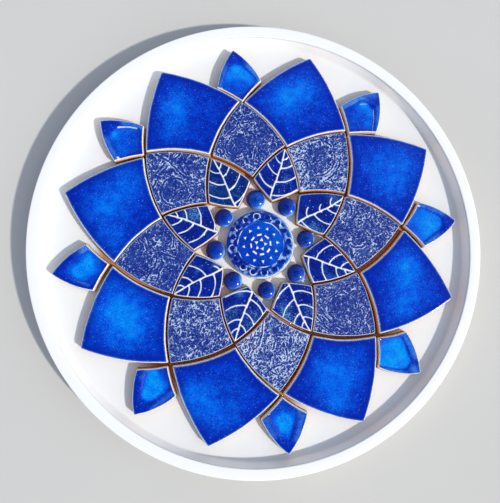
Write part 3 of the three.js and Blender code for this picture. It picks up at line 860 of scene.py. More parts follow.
# How pale each tile is fired overall, and its pale or tan places: outward, round, reach and strength
PALENESS = [-0.03, 0.04, -0.04, -0.03, -0.05, 0.0, 0.08, -0.08]
PALE_PLACES = [
    [(58, 14, 6, 0.3)],
    [(70, -17, 6, 0.6), (58, 10, 6, 0.3)],
    [(56, -12, 7, 0.3)],
    [(60, -12, 7, 0.3)],
    [(72, -12, 7, 0.25)],
    [(57, -8, 7, 0.5), (75, -12, 8, 0.3)],
    [(65, -13, 8, 0.8), (76, 4, 8, 0.4), (62, 17, 6, 0.4)],
    [(62, -16, 7, 0.4)],
]


def lace(flat, index):
    """Height of the pressed lace from 0 to 1: threads that wander, cross and close into loops."""
    seed = index * 5
    slow = drift(flat, 3.2 * MM, seed + 101, seed + 113)
    quick = drift(flat, 1.4 * MM, seed + 103, seed + 117)
    bent = flat + THREAD_DRIFT * slow
    threads = 1 - np.abs(wander(bent, THREAD_SIZE, seed + 121)) / THREAD_SHARE
    fine = 1 - np.abs(wander(bent, FINE_THREAD_SIZE, seed + 131)) / FINE_THREAD_SHARE
    blots = 0.5 + 0.9 * wander(flat, 1.6 * MM, seed + 136)
    busy = 0.72 + 0.28 * smooth_step(-0.4, 0.3, wander(flat, 7 * MM, seed + 151))
    for outward, round_, radius in CALM_PLACES[index]:
        away = np.hypot(*(flat + 2 * MM * slow - np.array([outward, round_]) * MM).T)
        busy *= 0.74 + 0.26 * smooth_step(radius * 0.6 * MM, radius * 1.2 * MM, away)
    woven = np.maximum(np.clip(threads, 0, 1), 0.85 * np.clip(fine, 0, 1))
    height = busy * (0.72 * woven + 0.3 * np.clip(blots, 0, 1)) + 0.28 * (1 - busy)
    folded = flat + FOLD_DRIFT * slow + FOLD_JITTER * quick
    for line in FOLD_LINES[index]:
        gap, _ = distance_to_line(folded, line * MM)
        strength = np.clip(0.75 + 0.8 * wander(flat, 4 * MM, seed + 161), 0.1, 1)
        crest = np.exp(-(((gap - CREST_AWAY) / CREST_WIDTH) ** 2))
        groove = np.exp(-((gap / GROOVE_WIDTH) ** 2))
        height = np.maximum(height, 0.95 * crest * strength) * (1 - 0.9 * groove * strength)
    return np.clip(height, 0, 1)


def textured_tile(kiln, index, material):
    def surface(flat, edge):
        relief = np.clip(lace(flat, index) + 0.08 * wander(flat, 1.0 * MM, index + 170), 0, 1)
        broad = wander(flat, 10 * MM, index + 175)
        pale = cloud_mark(flat, PALE_PLACES[index])
        marks = {
            "relief": np.clip(relief + 0.12 * pale + PALENESS[index], 0, 1),
            "cloud": np.clip(0.35 + 0.5 * broad + 0.8 * pale, 0, 1),
            "tan": pale * smooth_step(0.45, 0.8, pale),
        }
        return kiln.sizes.crinkle_height * (relief - 1) + 0.08 * MM * broad, marks

    add_tile(kiln, TEXTURED_TILE, index, surface, material)


# Round pieces: a profile of radii and heights, turned about an upright line


def turned_mesh(profile, segments):
    """A closed turned solid. Its profile runs from the axis underneath, out and over to the axis on top."""
    inner = profile[1:-1]
    angles = np.linspace(0, 2 * pi, segments, endpoint=False)
    radii, heights = np.array(inner).T
    rings = np.stack(
        [
            radii[:, None] * np.cos(angles),
            radii[:, None] * np.sin(angles),
            np.repeat(heights[:, None], segments, axis=1),
        ],
        axis=2,
    )
    points = np.concatenate([rings.reshape(-1, 3), [[0, 0, profile[0][1]], [0, 0, profile[-1][1]]]])
    ids = np.arange(segments)
    faces = []
    for i in range(len(inner) - 1):
        low, high = ids + segments * i, ids + segments * (i + 1)
        faces += np.stack([low, np.roll(low, -1), np.roll(high, -1), high], axis=1).tolist()
    bottom, top = len(points) - 2, len(points) - 1
    last = ids + segments * (len(inner) - 1)
    faces += [[b, a, bottom] for a, b in zip(ids, np.roll(ids, -1))]
    faces += [[a, b, top] for a, b in zip(last, np.roll(last, -1))]
    return points, faces


def knee(corner, before, after, radius, steps):
    """Rounds one corner of a profile between its two neighbours."""
    corner, before, after = (np.array(p, float) for p in (corner, before, after))
    first = before - corner
    second = after - corner
    start = corner + first * radius / hypot(*first)
    end = corner + second * radius / hypot(*second)
    return [tuple(p) for p in curve_line(start, corner, end, steps)]


KNEE_STEPS = 5


def rounded_profile(points, radii):
    """A profile with each of its corners rounded as far as its own radius says."""
    made = [points[0]]
    for i in range(1, len(points) - 1):
        if radii[i] > 0:
            made += knee(points[i], points[i - 1], points[i + 1], radii[i], KNEE_STEPS)
        else:
            made.append(points[i])
    return made + [points[-1]]


CABOCHON_SEGMENTS = 64
CABOCHON_RING = 30 * MM
CABOCHON_RADIUS = 6.25 * MM
CABOCHON_HEIGHT = 6.3 * MM
# Its widest place's height, and the radius of its foot as a share of the widest
CABOCHON_SIDE = 3.0 * MM
CABOCHON_FOOT = 0.84
# How large each one came out
CABOCHON_SCALES = [0.965, 1.015, 1.03, 0.99, 1.04, 0.99, 0.97, 0.99]
# How clear and bright the glaze is over the middle of each one
CABOCHON_CLEAR = [0.25, 0.1, 0.5, 0.05, 0.1, 0.15, 0.1, 0.1]
# How far each one is out of round, as a share of its radius
CABOCHON_UNEVEN = 0.025
DOME_STEPS = 22
UNDER_STEPS = 6
# The angle at which the curve under the widest place starts
UNDER_FROM = 0.15
# The way from the centre toward the sun, in the part's frame. The round pieces are painted lighter on this
# side and darker on the far side, as painted light and shade
PAINTED_SUN_SIDE = (0.75, -0.66)


def cabochon(kiln, index, material):
    radius = CABOCHON_RADIUS * CABOCHON_SCALES[index]
    rise = CABOCHON_HEIGHT - CABOCHON_SIDE
    flare = 1 - CABOCHON_FOOT
    under = np.linspace(UNDER_FROM, pi / 2, UNDER_STEPS + 1)[:-1]
    over = np.linspace(0, pi / 2, DOME_STEPS + 1)[:-1]
    below = [(radius * (CABOCHON_FOOT + flare * sin(t)), CABOCHON_SIDE * (1 - cos(t))) for t in under]
    dome = [(radius * cos(t), CABOCHON_SIDE + rise * sin(t)) for t in over]
    profile = [(0, 0), (radius * CABOCHON_FOOT, 0), *below, *dome, (0, CABOCHON_HEIGHT)]
    points, faces = turned_mesh(profile, CABOCHON_SEGMENTS)
    height = points[:, 2]
    wave = wander(points[:, :2], 5 * MM, index + 200)
    flat = points[:, :2] * (1 - CABOCHON_UNEVEN * np.abs(wave))[:, None]
    # Painted light: each dome is marked paler toward the sun, and its material paints that side lighter and
    # leaves the far side dark
    sun_way = turned(np.array(PAINTED_SUN_SIDE), -FOLD_ANGLE * index)
    outward, round_, _ = CABOCHON_PLACES[index]
    spot = (CABOCHON_RING / MM + outward, round_, 0)
    place = laid(np.column_stack([flat, height]), FOLD_ANGLE * index, spot)
    marks = {
        "height": height / MM,
        "cloud": np.full(len(height), CABOCHON_CLEAR[index]),
        "pale": smooth_step(-0.5, 0.9, flat @ sun_way / radius),
    }
    add_numbered("cabochon", index, place, faces, marks, material)


# Medallion: a pressed rosette

DISC_RADIUS = 22.7 * MM
DISC_FIELD = 6.2 * MM
DISC_RINGS = 96
DISC_SEGMENTS = 300
DISC_FIRST_RING = 0.4 * MM
DISC_RUN = 4.5
DISC_BEVEL = 0.4 * MM
DISC_SIDE = (DISC_BEVEL, 2.5 * MM, 4.2 * MM, DISC_FIELD - 0.9 * MM)
# How far the face falls toward its edge, and over what width
EDGE_FALL = 1.1 * MM
EDGE_FALL_WIDTH = 2.2 * MM
# How far the pressed motifs and the cut edge stray from their drawn places
MOTIF_DRIFT = 0.22 * MM
EDGE_DRIFT = 0.15 * MM
BAND_ROUGHNESS = 0.08 * MM
# The way in which the glaze over the middle grows brighter
BRIGHTER_WAY = (0.95, 0.3)
RING_RADIUS = 15.2 * MM
RING_WIDTH = 0.4 * MM
# Each motif's count and the radius of the ring it stands on, and then its own size
STAR = (5, 3.1 * MM)
STAR_SIZE = 1.2 * MM
BARS = (8, 6.5 * MM)
BAR_LENGTH = 2.9 * MM
BAR_WIDTH = 1.0 * MM
POINTS = (12, 11.2 * MM)
POINT_SIZE = 1.1 * MM
STUDS = (16, 18.7 * MM)
STUD_RADIUS = 1.6 * MM
ARCH_RADIUS = 2.2 * MM
ARCH_WIDTH = 0.45 * MM
ARCH_HALF_ANGLE = radians(110)


def in_wedges(flat, count, ring):
    """Turns every point into the first of count equal wedges, seen from that wedge's middle."""
    angle = np.arctan2(flat[:, 1], flat[:, 0])
    step = 2 * pi / count
    local = (angle + step / 2) % step - step / 2
    radius = np.hypot(*flat.T)
    return np.stack([radius * np.cos(local) - ring, radius * np.sin(local)], axis=1)


def point_gap(local, size):
    """Distance outside a triangle with one corner outward."""
    angles = [pi / 3, pi, -pi / 3]
    gaps = [local @ np.array([cos(a), sin(a)]) - size / 2 for a in angles]
    return np.max(gaps, axis=0)


def bar_gap(local, length, width):
    """Distance outside a bar that lies along its ring."""
    beyond = np.abs(local) - np.array([width / 2, length / 2])
    return np.max(beyond, axis=1)


def arch_gap(local, radius, width, half):
    """Distance outside an arch that opens toward the centre, half its angle to either side."""
    away = np.abs(np.hypot(*local.T) - radius) - width / 2
    angle = np.abs(np.arctan2(local[:, 1], local[:, 0]))
    return np.maximum(away, (angle - half) * radius)


def rosette(flat):
    """Distance outside the nearest raised motif."""
    gaps = [
        point_gap(in_wedges(flat, *STAR), STAR_SIZE),
        bar_gap(in_wedges(flat, *BARS), BAR_LENGTH, BAR_WIDTH),
        point_gap(in_wedges(flat, *POINTS), POINT_SIZE),
        np.abs(np.hypot(*flat.T) - RING_RADIUS) - RING_WIDTH / 2,
        arch_gap(in_wedges(flat, *STUDS), ARCH_RADIUS, ARCH_WIDTH, ARCH_HALF_ANGLE),
    ]
    return np.min(gaps, axis=0)


def studs_gap(flat):
    """Distance outside the nearest round stud of the outer band."""
    return np.hypot(*in_wedges(flat, *STUDS).T) - STUD_RADIUS


def medallion(kiln, material):
    outer = DISC_RADIUS
    face = [(r, DISC_FIELD) for r in np.linspace(outer - 0.3 * MM, DISC_FIRST_RING, DISC_RINGS)]
    side = [(outer, height) for height in DISC_SIDE]
    shoulder = (outer - 0.08 * MM, DISC_FIELD - 0.5 * MM)
    profile = [(0, 0), (outer - DISC_BEVEL, 0), *side, shoulder, *face, (0, DISC_FIELD)]
    points, faces = turned_mesh(profile, DISC_SEGMENTS)
    flat, height = points[:, :2], points[:, 2]
    on_top = height > DISC_FIELD - 0.01 * MM
    bent = flat + MOTIF_DRIFT * drift(flat, 3.5 * MM, 211, 223)
    reach = np.hypot(*flat.T)
    edge = outer - reach
    patchy = wander(flat, 4.5 * MM, 231)
    worn_middle = np.clip(0.95 + 0.5 * patchy, 0.4, 1.1)
    worn_band = np.clip(0.65 + 1.4 * patchy, 0.05, 1)
    worn = np.where(reach < RING_RADIUS - RING_WIDTH, worn_middle, worn_band)
    relief = worn * (1 - smooth_step(-0.25 * MM, 0.45 * MM, rosette(bent)))
    studs = 1 - smooth_step(-0.2 * MM, 0.5 * MM, studs_gap(bent))
    in_band = smooth_step(0.2 * MM, 1.0 * MM, reach - RING_RADIUS) * smooth_step(0.2 * MM, 1.2 * MM, edge)
    ground = in_band * (1 - studs) * smooth_step(0, 0.4, wander(flat, 2.8 * MM, 237))
    rise = kiln.sizes.ornament_height * (0.85 * relief + 0.45 * in_band * studs)
    fall = -EDGE_FALL * (1 - smooth_step(0, EDGE_FALL_WIDTH, edge)) ** 1.5
    rough = BAND_ROUGHNESS * wander(flat, 1.6 * MM, 239) * in_band
    height = np.where(on_top, height + rise * smooth_step(0, 0.8 * MM, edge) + fall + rough, height)
    cut = flat + EDGE_DRIFT * drift(flat, 7 * MM, 241, 247)
    place = laid(np.column_stack([cut, height]), 0)
    # Painted light and shade: the white break over the medallion's edge is held back on the side away from
    # the sun. Its outline is painted lit on the sun's side and shaded on the far side.
    toward_sun = flat @ np.array(PAINTED_SUN_SIDE) / outer
    lit = smooth_step(-0.5, 0.5, toward_sun + 0.4 * wander(flat, 5 * MM, 249))
    marks = {
        "relief": np.where(on_top, relief, 0),
        "pale": np.where(on_top, ground, 0),
        "stud": np.where(on_top, in_band * studs, 0),
        "band": in_band,
        "edge": np.where(on_top, 0.45 * edge, 0) / MM + 0.9 * (1 - lit),
        "drop": np.where(on_top, 0, DISC_FIELD - points[:, 2]) / MM,
        "run": np.full(len(flat), DISC_RUN),
        "cloud": smooth_step(-14 * MM, 15 * MM, flat @ np.array(BRIGHTER_WAY)),
    }
    add_piece("medallion_glazed", place, faces, marks, material, ["medallion"])


# Tray

TRAY_SEGMENTS = 224
WELL_RADIUS = 139.7 * MM
RIM_WIDTH = 7.4 * MM
# Painted shade darkens the tray's floor in the joints between these radii, where shade falls between the
# tiles: where it fades in, and where it fades out
JOINTS_FROM = (42 * MM, 47 * MM)
JOINTS_TO = (103 * MM, 109 * MM)
# A shallow crease runs round the well's wall, just under the rim
CREASE_TOP = RIM_TOP - 0.9 * MM
FOOT_RADIUS = 128 * MM
FOOT_WIDTH = 8 * MM
FOOT_HEIGHT = 1.5 * MM
BASE_RADIUS = 139 * MM
BASE_SLOPE = 0.4 * MM
# A ring of points inside the foot, and one under the middle of the pattern
UNDER_RING = 60 * MM
MIDDLE_RING = 38 * MM


def tray(kiln, material):
    rim_inner = TRAY_RADIUS - RIM_WIDTH
    foot_inner = FOOT_RADIUS - FOOT_WIDTH
    # Each corner of the profile and how far it is rounded
    corners = [
        ((0, FOOT_HEIGHT), 0),
        ((UNDER_RING, FOOT_HEIGHT), 0),
        ((foot_inner - FOOT_HEIGHT, FOOT_HEIGHT), 1.0 * MM),
        ((foot_inner, 0), 0.5 * MM),
        ((FOOT_RADIUS, 0), 0.5 * MM),
        ((FOOT_RADIUS + FOOT_HEIGHT, FOOT_HEIGHT), 1.0 * MM),
        ((BASE_RADIUS, FOOT_HEIGHT + BASE_SLOPE), 3 * MM),
        ((TRAY_RADIUS - 3 * MM, FLOOR - 1.5 * MM), 3 * MM),
        ((TRAY_RADIUS, RIM_TOP), 0.9 * MM),
        ((rim_inner, RIM_TOP), 0.6 * MM),
        ((rim_inner - 0.1 * MM, CREASE_TOP), 0),
        ((rim_inner + 0.2 * MM, CREASE_TOP - 0.4 * MM), 0),
        ((rim_inner - 0.1 * MM, CREASE_TOP - 0.9 * MM), 0),
        ((WELL_RADIUS + 0.5 * MM, FLOOR + 0.1 * MM), 1.4 * MM),
        ((WELL_RADIUS - 12 * MM, FLOOR), 0),
        *[((radius, FLOOR), 0) for radius in (*JOINTS_TO[::-1], *JOINTS_FROM[::-1])],
        ((MIDDLE_RING, FLOOR), 0),
        ((0, FLOOR), 0),
    ]
    points, faces = turned_mesh(rounded_profile(*zip(*corners)), TRAY_SEGMENTS)
    reach, height = np.hypot(*points[:, :2].T), points[:, 2]

    def ring_between(inner, outer, low, high):
        return (reach > inner) & (reach < outer) & (height > low) & (height < high)

    past_middle = smooth_step(*JOINTS_FROM, reach)
    in_joints = past_middle * (1 - smooth_step(*JOINTS_TO, reach))
    on_wall = ring_between(WELL_RADIUS, rim_inner, FLOOR + 0.9 * MM, CREASE_TOP)
    on_rim = (reach > rim_inner) & (height > RIM_TOP - 0.3 * MM)
    in_crease = ring_between(rim_inner, rim_inner + 0.3 * MM, CREASE_TOP - 0.5 * MM, CREASE_TOP)
    # Painted light and shade: the floor under the middle of the pattern, the well's wall and the rim's top
    # are painted lighter, as sunlight and its bounce. The crease under the rim and the floor in the joints
    # are painted darker, as shade. The foot's mark is the tray's own colour.
    marks = {
        "foot": np.where(height < 0.45 * MM, 1.0, 0.0),
        "pale": np.maximum(1 - past_middle, on_wall | on_rim),
        "crease": in_crease * 1.0,
        "dust": in_joints * (height > FLOOR - 0.1 * MM),
    }
    add_piece("tray_glazed", points, faces, marks, material, ["tray"])


# Shader building

FLOAT = "NodeSocketFloat"
COLOUR = "NodeSocketColor"
BLACK = (0, 0, 0, 1)
WHITE = (1, 1, 1, 1)


def plug(tree, socket, value):
    """Links another node's output to a socket, or sets the socket to a number or a colour."""
    if isinstance(value, bpy.types.NodeSocket):
        tree.links.new(value, socket)
    elif socket.type == "RGBA":
        socket.default_value = (*value[:3], 1)
    else:
        socket.default_value = value


def add_node(tree, kind, inputs=None, **settings):
    """Adds a node; inputs maps its sockets to plain values or to other nodes' outputs."""
    node = tree.nodes.new(kind)
    for name, value in settings.items():
        setattr(node, name, value)
    for name, value in (inputs or {}).items():
        plug(tree, node.inputs[name], value)
    return node


def maths(tree, operation, first, second):
    return add_node(tree, "ShaderNodeMath", {0: first, 1: second}, operation=operation).outputs[0]


def times(tree, first, second):
    return maths(tree, "MULTIPLY", first, second)


def plus(tree, first, second):
    return maths(tree, "ADD", first, second)


def minus(tree, first, second):
    return maths(tree, "SUBTRACT", first, second)


def larger(tree, first, second):
    return maths(tree, "MAXIMUM", first, second)


def blend_colours(tree, share, first, second):
    inputs = {0: share, 6: first, 7: second}
    return add_node(tree, "ShaderNodeMix", inputs, data_type="RGBA").outputs[2]


def layered(tree, shade, *layers):
    """A colour with others laid over it in turn, each a share and a colour."""
    for share, over in layers:
        shade = blend_colours(tree, share, shade, over)
    return shade


def between(tree, value, low, high):
    """A soft step from 0 at low to 1 at high."""
    inputs = {"Value": value, "From Min": low, "From Max": high}
    return add_node(tree, "ShaderNodeMapRange", inputs, interpolation_type="SMOOTHSTEP").outputs[0]


def fading(tree, value, low, high):
    """A soft step from 1 at low to 0 at high."""
    return minus(tree, 1.0, between(tree, value, low, high))


def mark(tree, name):
    """One of the marks that add_piece keeps on the mesh."""
    kept = add_node(tree, "ShaderNodeAttribute", attribute_name=name, attribute_type="GEOMETRY")
    return kept.outputs["Fac"]


def place_of(tree):
    return add_node(tree, "ShaderNodeTexCoord").outputs["Object"]


def grain(tree, size, detail, roughness):
    inputs = {"Vector": place_of(tree), "Scale": size, "Detail": detail, "Roughness": roughness}
    return add_node(tree, "ShaderNodeTexNoise", inputs).outputs["Fac"]


def swing(tree, size, detail, roughness, reach):
    """A grain that swings to either side of 0, over a reach in all."""
    return times(tree, minus(tree, grain(tree, size, detail, roughness), 0.5), reach)


def per_size(tree, size, factor=1.0):
    """A texture scale from a grain size."""
    return maths(tree, "DIVIDE", factor, size)


def new_group(name, inputs, outputs):
    """A node group; inputs maps socket names to numbers or colours, outputs to the sockets' kinds."""
    tree = bpy.data.node_groups.new(name, "ShaderNodeTree")
    for socket_name, default in inputs.items():
        kind = COLOUR if isinstance(default, tuple) else FLOAT
        socket = tree.interface.new_socket(name=socket_name, in_out="INPUT", socket_type=kind)
        socket.default_value = default
    for socket_name, kind in outputs.items():
        tree.interface.new_socket(name=socket_name, in_out="OUTPUT", socket_type=kind)
    entry = tree.nodes.new("NodeGroupInput")
    leave = tree.nodes.new("NodeGroupOutput")
    return tree, entry.outputs, leave.inputs


# Scales of the fixed grains, in bumps a metre
PIT_SCALE = 1500
EDGE_SCALE = 900
TONGUE_SCALE = 160
DOME_SCALE = 260
CLOUDING_SCALE = 30
FLOOR_SCALE = 6


def mottle_group():
    """Fine flecks of a darker and a lighter glaze, with sparse pale specks."""
    inputs = {"Dark": BLACK, "Light": WHITE, "Speck": WHITE, "Grain": 0.001, "Balance": 0.5, "Specks": 0.5}
    tree, given, result = new_group("glaze_mottle", inputs, {"Color": COLOUR})
    fine = grain(tree, per_size(tree, given["Grain"], 1.2), 3, 0.6)
    mixed = plus(tree, fine, swing(tree, per_size(tree, given["Grain"], 0.16), 2, 0.5, 0.45))
    low = minus(tree, 0.87, given["Balance"])
    share = between(tree, mixed, low, plus(tree, low, 0.27))
    body = blend_colours(tree, share, given["Dark"], given["Light"])
    cell_inputs = {"Vector": place_of(tree), "Scale": per_size(tree, given["Grain"], 0.55)}
    cells = add_node(tree, "ShaderNodeTexVoronoi", cell_inputs, feature="F1")
    chosen = between(tree, cells.outputs["Color"], 0.62, 0.7)
    dots = times(tree, chosen, fading(tree, cells.outputs["Distance"], 0.12, 0.3))
    specks = times(tree, dots, given["Specks"])
    tree.links.new(blend_colours(tree, specks, body, given["Speck"]), result["Color"])
    return tree


def break_group():
    """Where glaze thins over an edge or a raised line, and the pale ground shows through."""
    tree, given, result = new_group(
        "glaze_break",
        {
            "Glaze": BLACK,
            "Thin": WHITE,
            "Ground": WHITE,
            "Edge": 1.0,
            "Edge Width": 1.0,
            "Relief": 0.0,
            "Relief Start": 0.4,
            "Relief Span": 0.4,
            "Relief Grain": 0.0,
        },
        {"Color": COLOUR, "Bare": FLOAT},
    )
    ragged = swing(tree, EDGE_SCALE, 3, 0.65, 0.9)
    edge = plus(tree, maths(tree, "DIVIDE", given["Edge"], given["Edge Width"]), ragged)
    by_edge = fading(tree, edge, 0.35, 1.0)
    halo = fading(tree, edge, 0.7, 2.0)
    start, span = given["Relief Start"], given["Relief Span"]
    relief = plus(tree, given["Relief"], times(tree, times(tree, ragged, span), 0.8))
    relief = plus(tree, relief, swing(tree, PIT_SCALE, 3, 0.7, given["Relief Grain"]))
    by_relief = between(tree, relief, start, plus(tree, start, span))
    near_relief = between(tree, relief, minus(tree, start, 0.3), plus(tree, start, 0.2))
    bare = larger(tree, by_edge, by_relief)
    thin = times(tree, larger(tree, halo, near_relief), 0.6)
    layers = [(thin, given["Thin"]), (bare, given["Ground"])]
    tree.links.new(layered(tree, given["Glaze"], *layers), result["Color"])
    tree.links.new(bare, result["Bare"])
    return tree


def flank_group():
    """The side of a tile: cream glaze that runs down in uneven tongues over bare clay, with painted shade
    that darkens the clay toward the foot, down in the joints.
    """
    tree, given, result = new_group(
        "tile_flank",
        {"Face": WHITE, "Cream": WHITE, "Clay": BLACK, "Soot And Gap Shade": BLACK, "Drop": 0.0, "Run": 1.5},
        {"Color": COLOUR, "Bare": FLOAT},
    )
    drop, run = given["Drop"], given["Run"]
    depth = plus(tree, drop, swing(tree, TONGUE_SCALE, 3, 0.6, 3.2))
    toward_cream = between(tree, drop, 0.3, 0.7)
    bare = between(tree, depth, run, plus(tree, run, 0.5))
    bare = times(tree, bare, between(tree, drop, 0.35, 0.7))
    grains = times(tree, between(tree, grain(tree, PIT_SCALE, 3, 0.7), 0.5, 0.72), 0.4)
    # Painted shade: the clay is darkened toward the foot of the side, down in the joints where shade falls;
    # the grains above are the clay's own dark specks
    painted_gap_shade = times(tree, between(tree, drop, 2.2, 5.0), 0.82)
    sooty_and_shaded = larger(tree, grains, painted_gap_shade)
    clay = blend_colours(tree, sooty_and_shaded, given["Clay"], given["Soot And Gap Shade"])
    side = blend_colours(tree, bare, given["Cream"], clay)
    tree.links.new(blend_colours(tree, toward_cream, given["Face"], side), result["Color"])
    tree.links.new(bare, result["Bare"])
    return tree


def skin_group():
    """Slow waves and small pits of a fired glaze surface, as a height."""
    tree, given, result = new_group("glaze_skin", {"Wave": 0.004, "Pits": 0.3}, {"Height": FLOAT})
    wave = grain(tree, per_size(tree, given["Wave"]), 2, 0.4)
    pits = times(tree, grain(tree, PIT_SCALE, 2, 0.5), given["Pits"])
    tree.links.new(plus(tree, wave, pits), result["Height"])
    return tree


GROUP_MAKERS = {
    "glaze_mottle": mottle_group,
    "glaze_break": break_group,
    "tile_flank": flank_group,
    "glaze_skin": skin_group,
}


def place_group(tree, name, inputs):
    """Places a node group with its own values, and builds it at its first use."""
    node = tree.nodes.new("ShaderNodeGroup")
    node.node_tree = bpy.data.node_groups.get(name) or GROUP_MAKERS[name]()
    for socket_name, value in inputs.items():
        plug(tree, node.inputs[socket_name], value)
    return node.outputs


# Materials


def glaze_material(name, base, roughness, bump, gloss):
    """A ceramic material.

    base builds its colour in the given tree, and a mask of where it is bare, or None. roughness is
    that of the glaze and of the bare places, and bump the wave, the pits and the height of its skin.
    """
    material = bpy.data.materials.new(name)
    material.use_nodes = True
    tree = material.node_tree
    shader = tree.nodes["Principled BSDF"].inputs
    shader["Specular IOR Level"].default_value = gloss
    shade, bare = base(tree)
    tree.links.new(shade, shader["Base Color"])
    smooth, rough = roughness
    if bare is None:
        shader["Roughness"].default_value = smooth
    else:
        ranged = add_node(tree, "ShaderNodeMapRange", {"Value": bare, "To Min": smooth, "To Max": rough})
        tree.links.new(ranged.outputs[0], shader["Roughness"])
    wave, pits, distance = bump
    height = place_group(tree, "glaze_skin", {"Wave": wave, "Pits": pits})["Height"]
    relief = add_node(tree, "ShaderNodeBump", {"Height": height, "Strength": 1.0, "Distance": distance})
    tree.links.new(relief.outputs["Normal"], shader["Normal"])
    return material


# One glaze's colours and its way of breaking, in the order of the groups' sockets
Finish = namedtuple(
    "Finish",
    "speck grain balance specks thin ground edge_width relief_start relief_span relief_grain",
    defaults=[None, None, None, None, 0.4, 0.0],
)


def mottled(tree, dark, light, finish):
    inputs = {
        "Dark": dark,
        "Light": light,
        "Speck": finish.speck,
        "Grain": finish.grain,
        "Balance": finish.balance,
        "Specks": finish.specks,
    }
    return place_group(tree, "glaze_mottle", inputs)["Color"]


def fired(tree, colours, dark, light, finish):
    """Mottled glaze that breaks pale over edges and relief and runs down over the cut side."""
    break_inputs = {
        "Glaze": mottled(tree, dark, light, finish),
        "Thin": finish.thin,
        "Ground": finish.ground,
        "Edge": mark(tree, "edge"),
        "Edge Width": finish.edge_width,
        "Relief": mark(tree, "relief"),
        "Relief Start": finish.relief_start,
        "Relief Span": finish.relief_span,
        "Relief Grain": finish.relief_grain,
    }
    flank_inputs = {
        "Face": place_group(tree, "glaze_break", break_inputs)["Color"],
        "Cream": colours.cream,
        "Clay": colours.clay,
        "Soot And Gap Shade": colours.soot_and_gap_shade,
        "Drop": mark(tree, "drop"),
        "Run": mark(tree, "run"),
    }
    side = place_group(tree, "tile_flank", flank_inputs)
    return side["Color"], side["Bare"]


def petal_material(kiln):
    colours = kiln.colours
    finish = Finish(
        speck=colours.fleck,
        grain=kiln.sizes.mottle_grain,
        balance=0.5,
        specks=0.55,
        thin=colours.rim_blue,
        ground=colours.slip,
        edge_width=0.8,
        relief_start=0.5,
    )

    def base(tree):
        cloud = mark(tree, "cloud")
        border = mark(tree, "band")
        light_layers = [
            (between(tree, mark(tree, "edge"), 0.5, 9), colours.cobalt),
            (border, colours.rim_blue),
            (between(tree, cloud, 0.0, 0.9), colours.azure),
            (between(tree, cloud, 0.8, 1.6), colours.turquoise),
        ]
        dark_layers = [
            (between(tree, cloud, 0.0, 1.0), colours.cobalt),
            (between(tree, cloud, 0.7, 1.4), colours.azure),
            (border, colours.azure),
        ]
        light = layered(tree, colours.night, *light_layers)
        dark = layered(tree, colours.night, *dark_layers)
        return fired(tree, colours, dark, light, finish)

    return glaze_material("petal_glaze", base, (0.16, 0.8), (7 * MM, 0.12, 0.1 * MM), 0.3)


def textured_material(kiln):
    colours = kiln.colours
    finish = Finish(
        speck=colours.mist,
        grain=0.9 * MM,
        balance=0.46,
        specks=0.8,
        thin=colours.steel,
        edge_width=0.7,
        relief_start=0.55,
        relief_span=0.25,
        relief_grain=1.0,
    )

    def base(tree):
        light = blend_colours(tree, mark(tree, "cloud"), colours.ink, colours.steel)
        worn = blend_colours(tree, mark(tree, "tan"), colours.mist, colours.sand)
        return fired(tree, colours, colours.ink, light, finish._replace(ground=worn))

    return glaze_material("textured_glaze", base, (0.35, 0.8), (2 * MM, 0.4, 0.1 * MM), 0.3)


def leaf_material(kiln):
    colours = kiln.colours
    finish = Finish(
        speck=colours.mist,
        grain=kiln.sizes.mottle_grain,
        balance=0.47,
        specks=0.45,
        thin=colours.halo,
        ground=colours.slip,
        edge_width=0.75,
        relief_start=0.45,
    )

    def base(tree):
        layers = [(mark(tree, "green"), colours.slate), (mark(tree, "cloud"), colours.lagoon)]
        light = layered(tree, colours.indigo, *layers)
        return fired(tree, colours, colours.navy, light, finish)

    return glaze_material("leaf_glaze", base, (0.18, 0.8), (5 * MM, 0.2, 0.1 * MM), 0.35)


# How far the bright glaze shows over the medallion's middle, and how dark its band and studs are
MEDALLION_CLEAR = 0.5
MEDALLION_SHADE = 0.6


def medallion_material(kiln):
    colours = kiln.colours
    finish = Finish(
        speck=colours.fleck,
        grain=kiln.sizes.mottle_grain,
        balance=0.55,
        specks=0.2,
        thin=colours.shallow,
        ground=colours.slip,
        edge_width=0.6,
        relief_start=0.45,
    )

    def base(tree):
        cloud = times(tree, mark(tree, "cloud"), MEDALLION_CLEAR)
        shaded = [times(tree, mark(tree, place), MEDALLION_SHADE) for place in ("band", "stud")]
        pale = mark(tree, "pale")
        light_layers = [(cloud, colours.azure), *((share, colours.deep) for share in shaded)]
        dark_layers = [(cloud, colours.cobalt), *((share, colours.night_sky) for share in shaded)]
        light = layered(tree, colours.royal, *light_layers, (pale, colours.haze))
        dark = layered(tree, colours.deep, *dark_layers, (pale, colours.royal))
        return fired(tree, colours, dark, light, finish)

    return glaze_material("medallion_glaze", base, (0.2, 0.8), (4 * MM, 0.15, 0.08 * MM), 0.35)


def cabochon_material(kiln):
    colours = kiln.colours
    finish = Finish(speck=colours.fleck, grain=kiln.sizes.mottle_grain, balance=0.55, specks=0.3)

    def base(tree):
        height = mark(tree, "height")
        clear = times(tree, between(tree, height, 4.6, 6.2), mark(tree, "cloud"))
        # Painted light and shade: the dome is painted lighter blue on the sun's side and stays dark on the
        # far side. The pale crescent low on the dome is partly thin glaze at the foot, and is painted on
        # the sun's side only as a painted highlight.
        side = mark(tree, "pale")
        light = layered(tree, colours.deep, (side, colours.cobalt), (clear, colours.azure))
        low = fading(tree, plus(tree, height, swing(tree, DOME_SCALE, 3, 0.6, 2.5)), 4.1, 5.4)
        thin = times(tree, low, times(tree, side, side))
        dome = mottled(tree, colours.night_sky, light, finish)
        return blend_colours(tree, thin, dome, colours.shallow), None

    return glaze_material("cabochon_glaze", base, (0.17, 0.17), (3 * MM, 0.05, 0.03 * MM), 0.3)


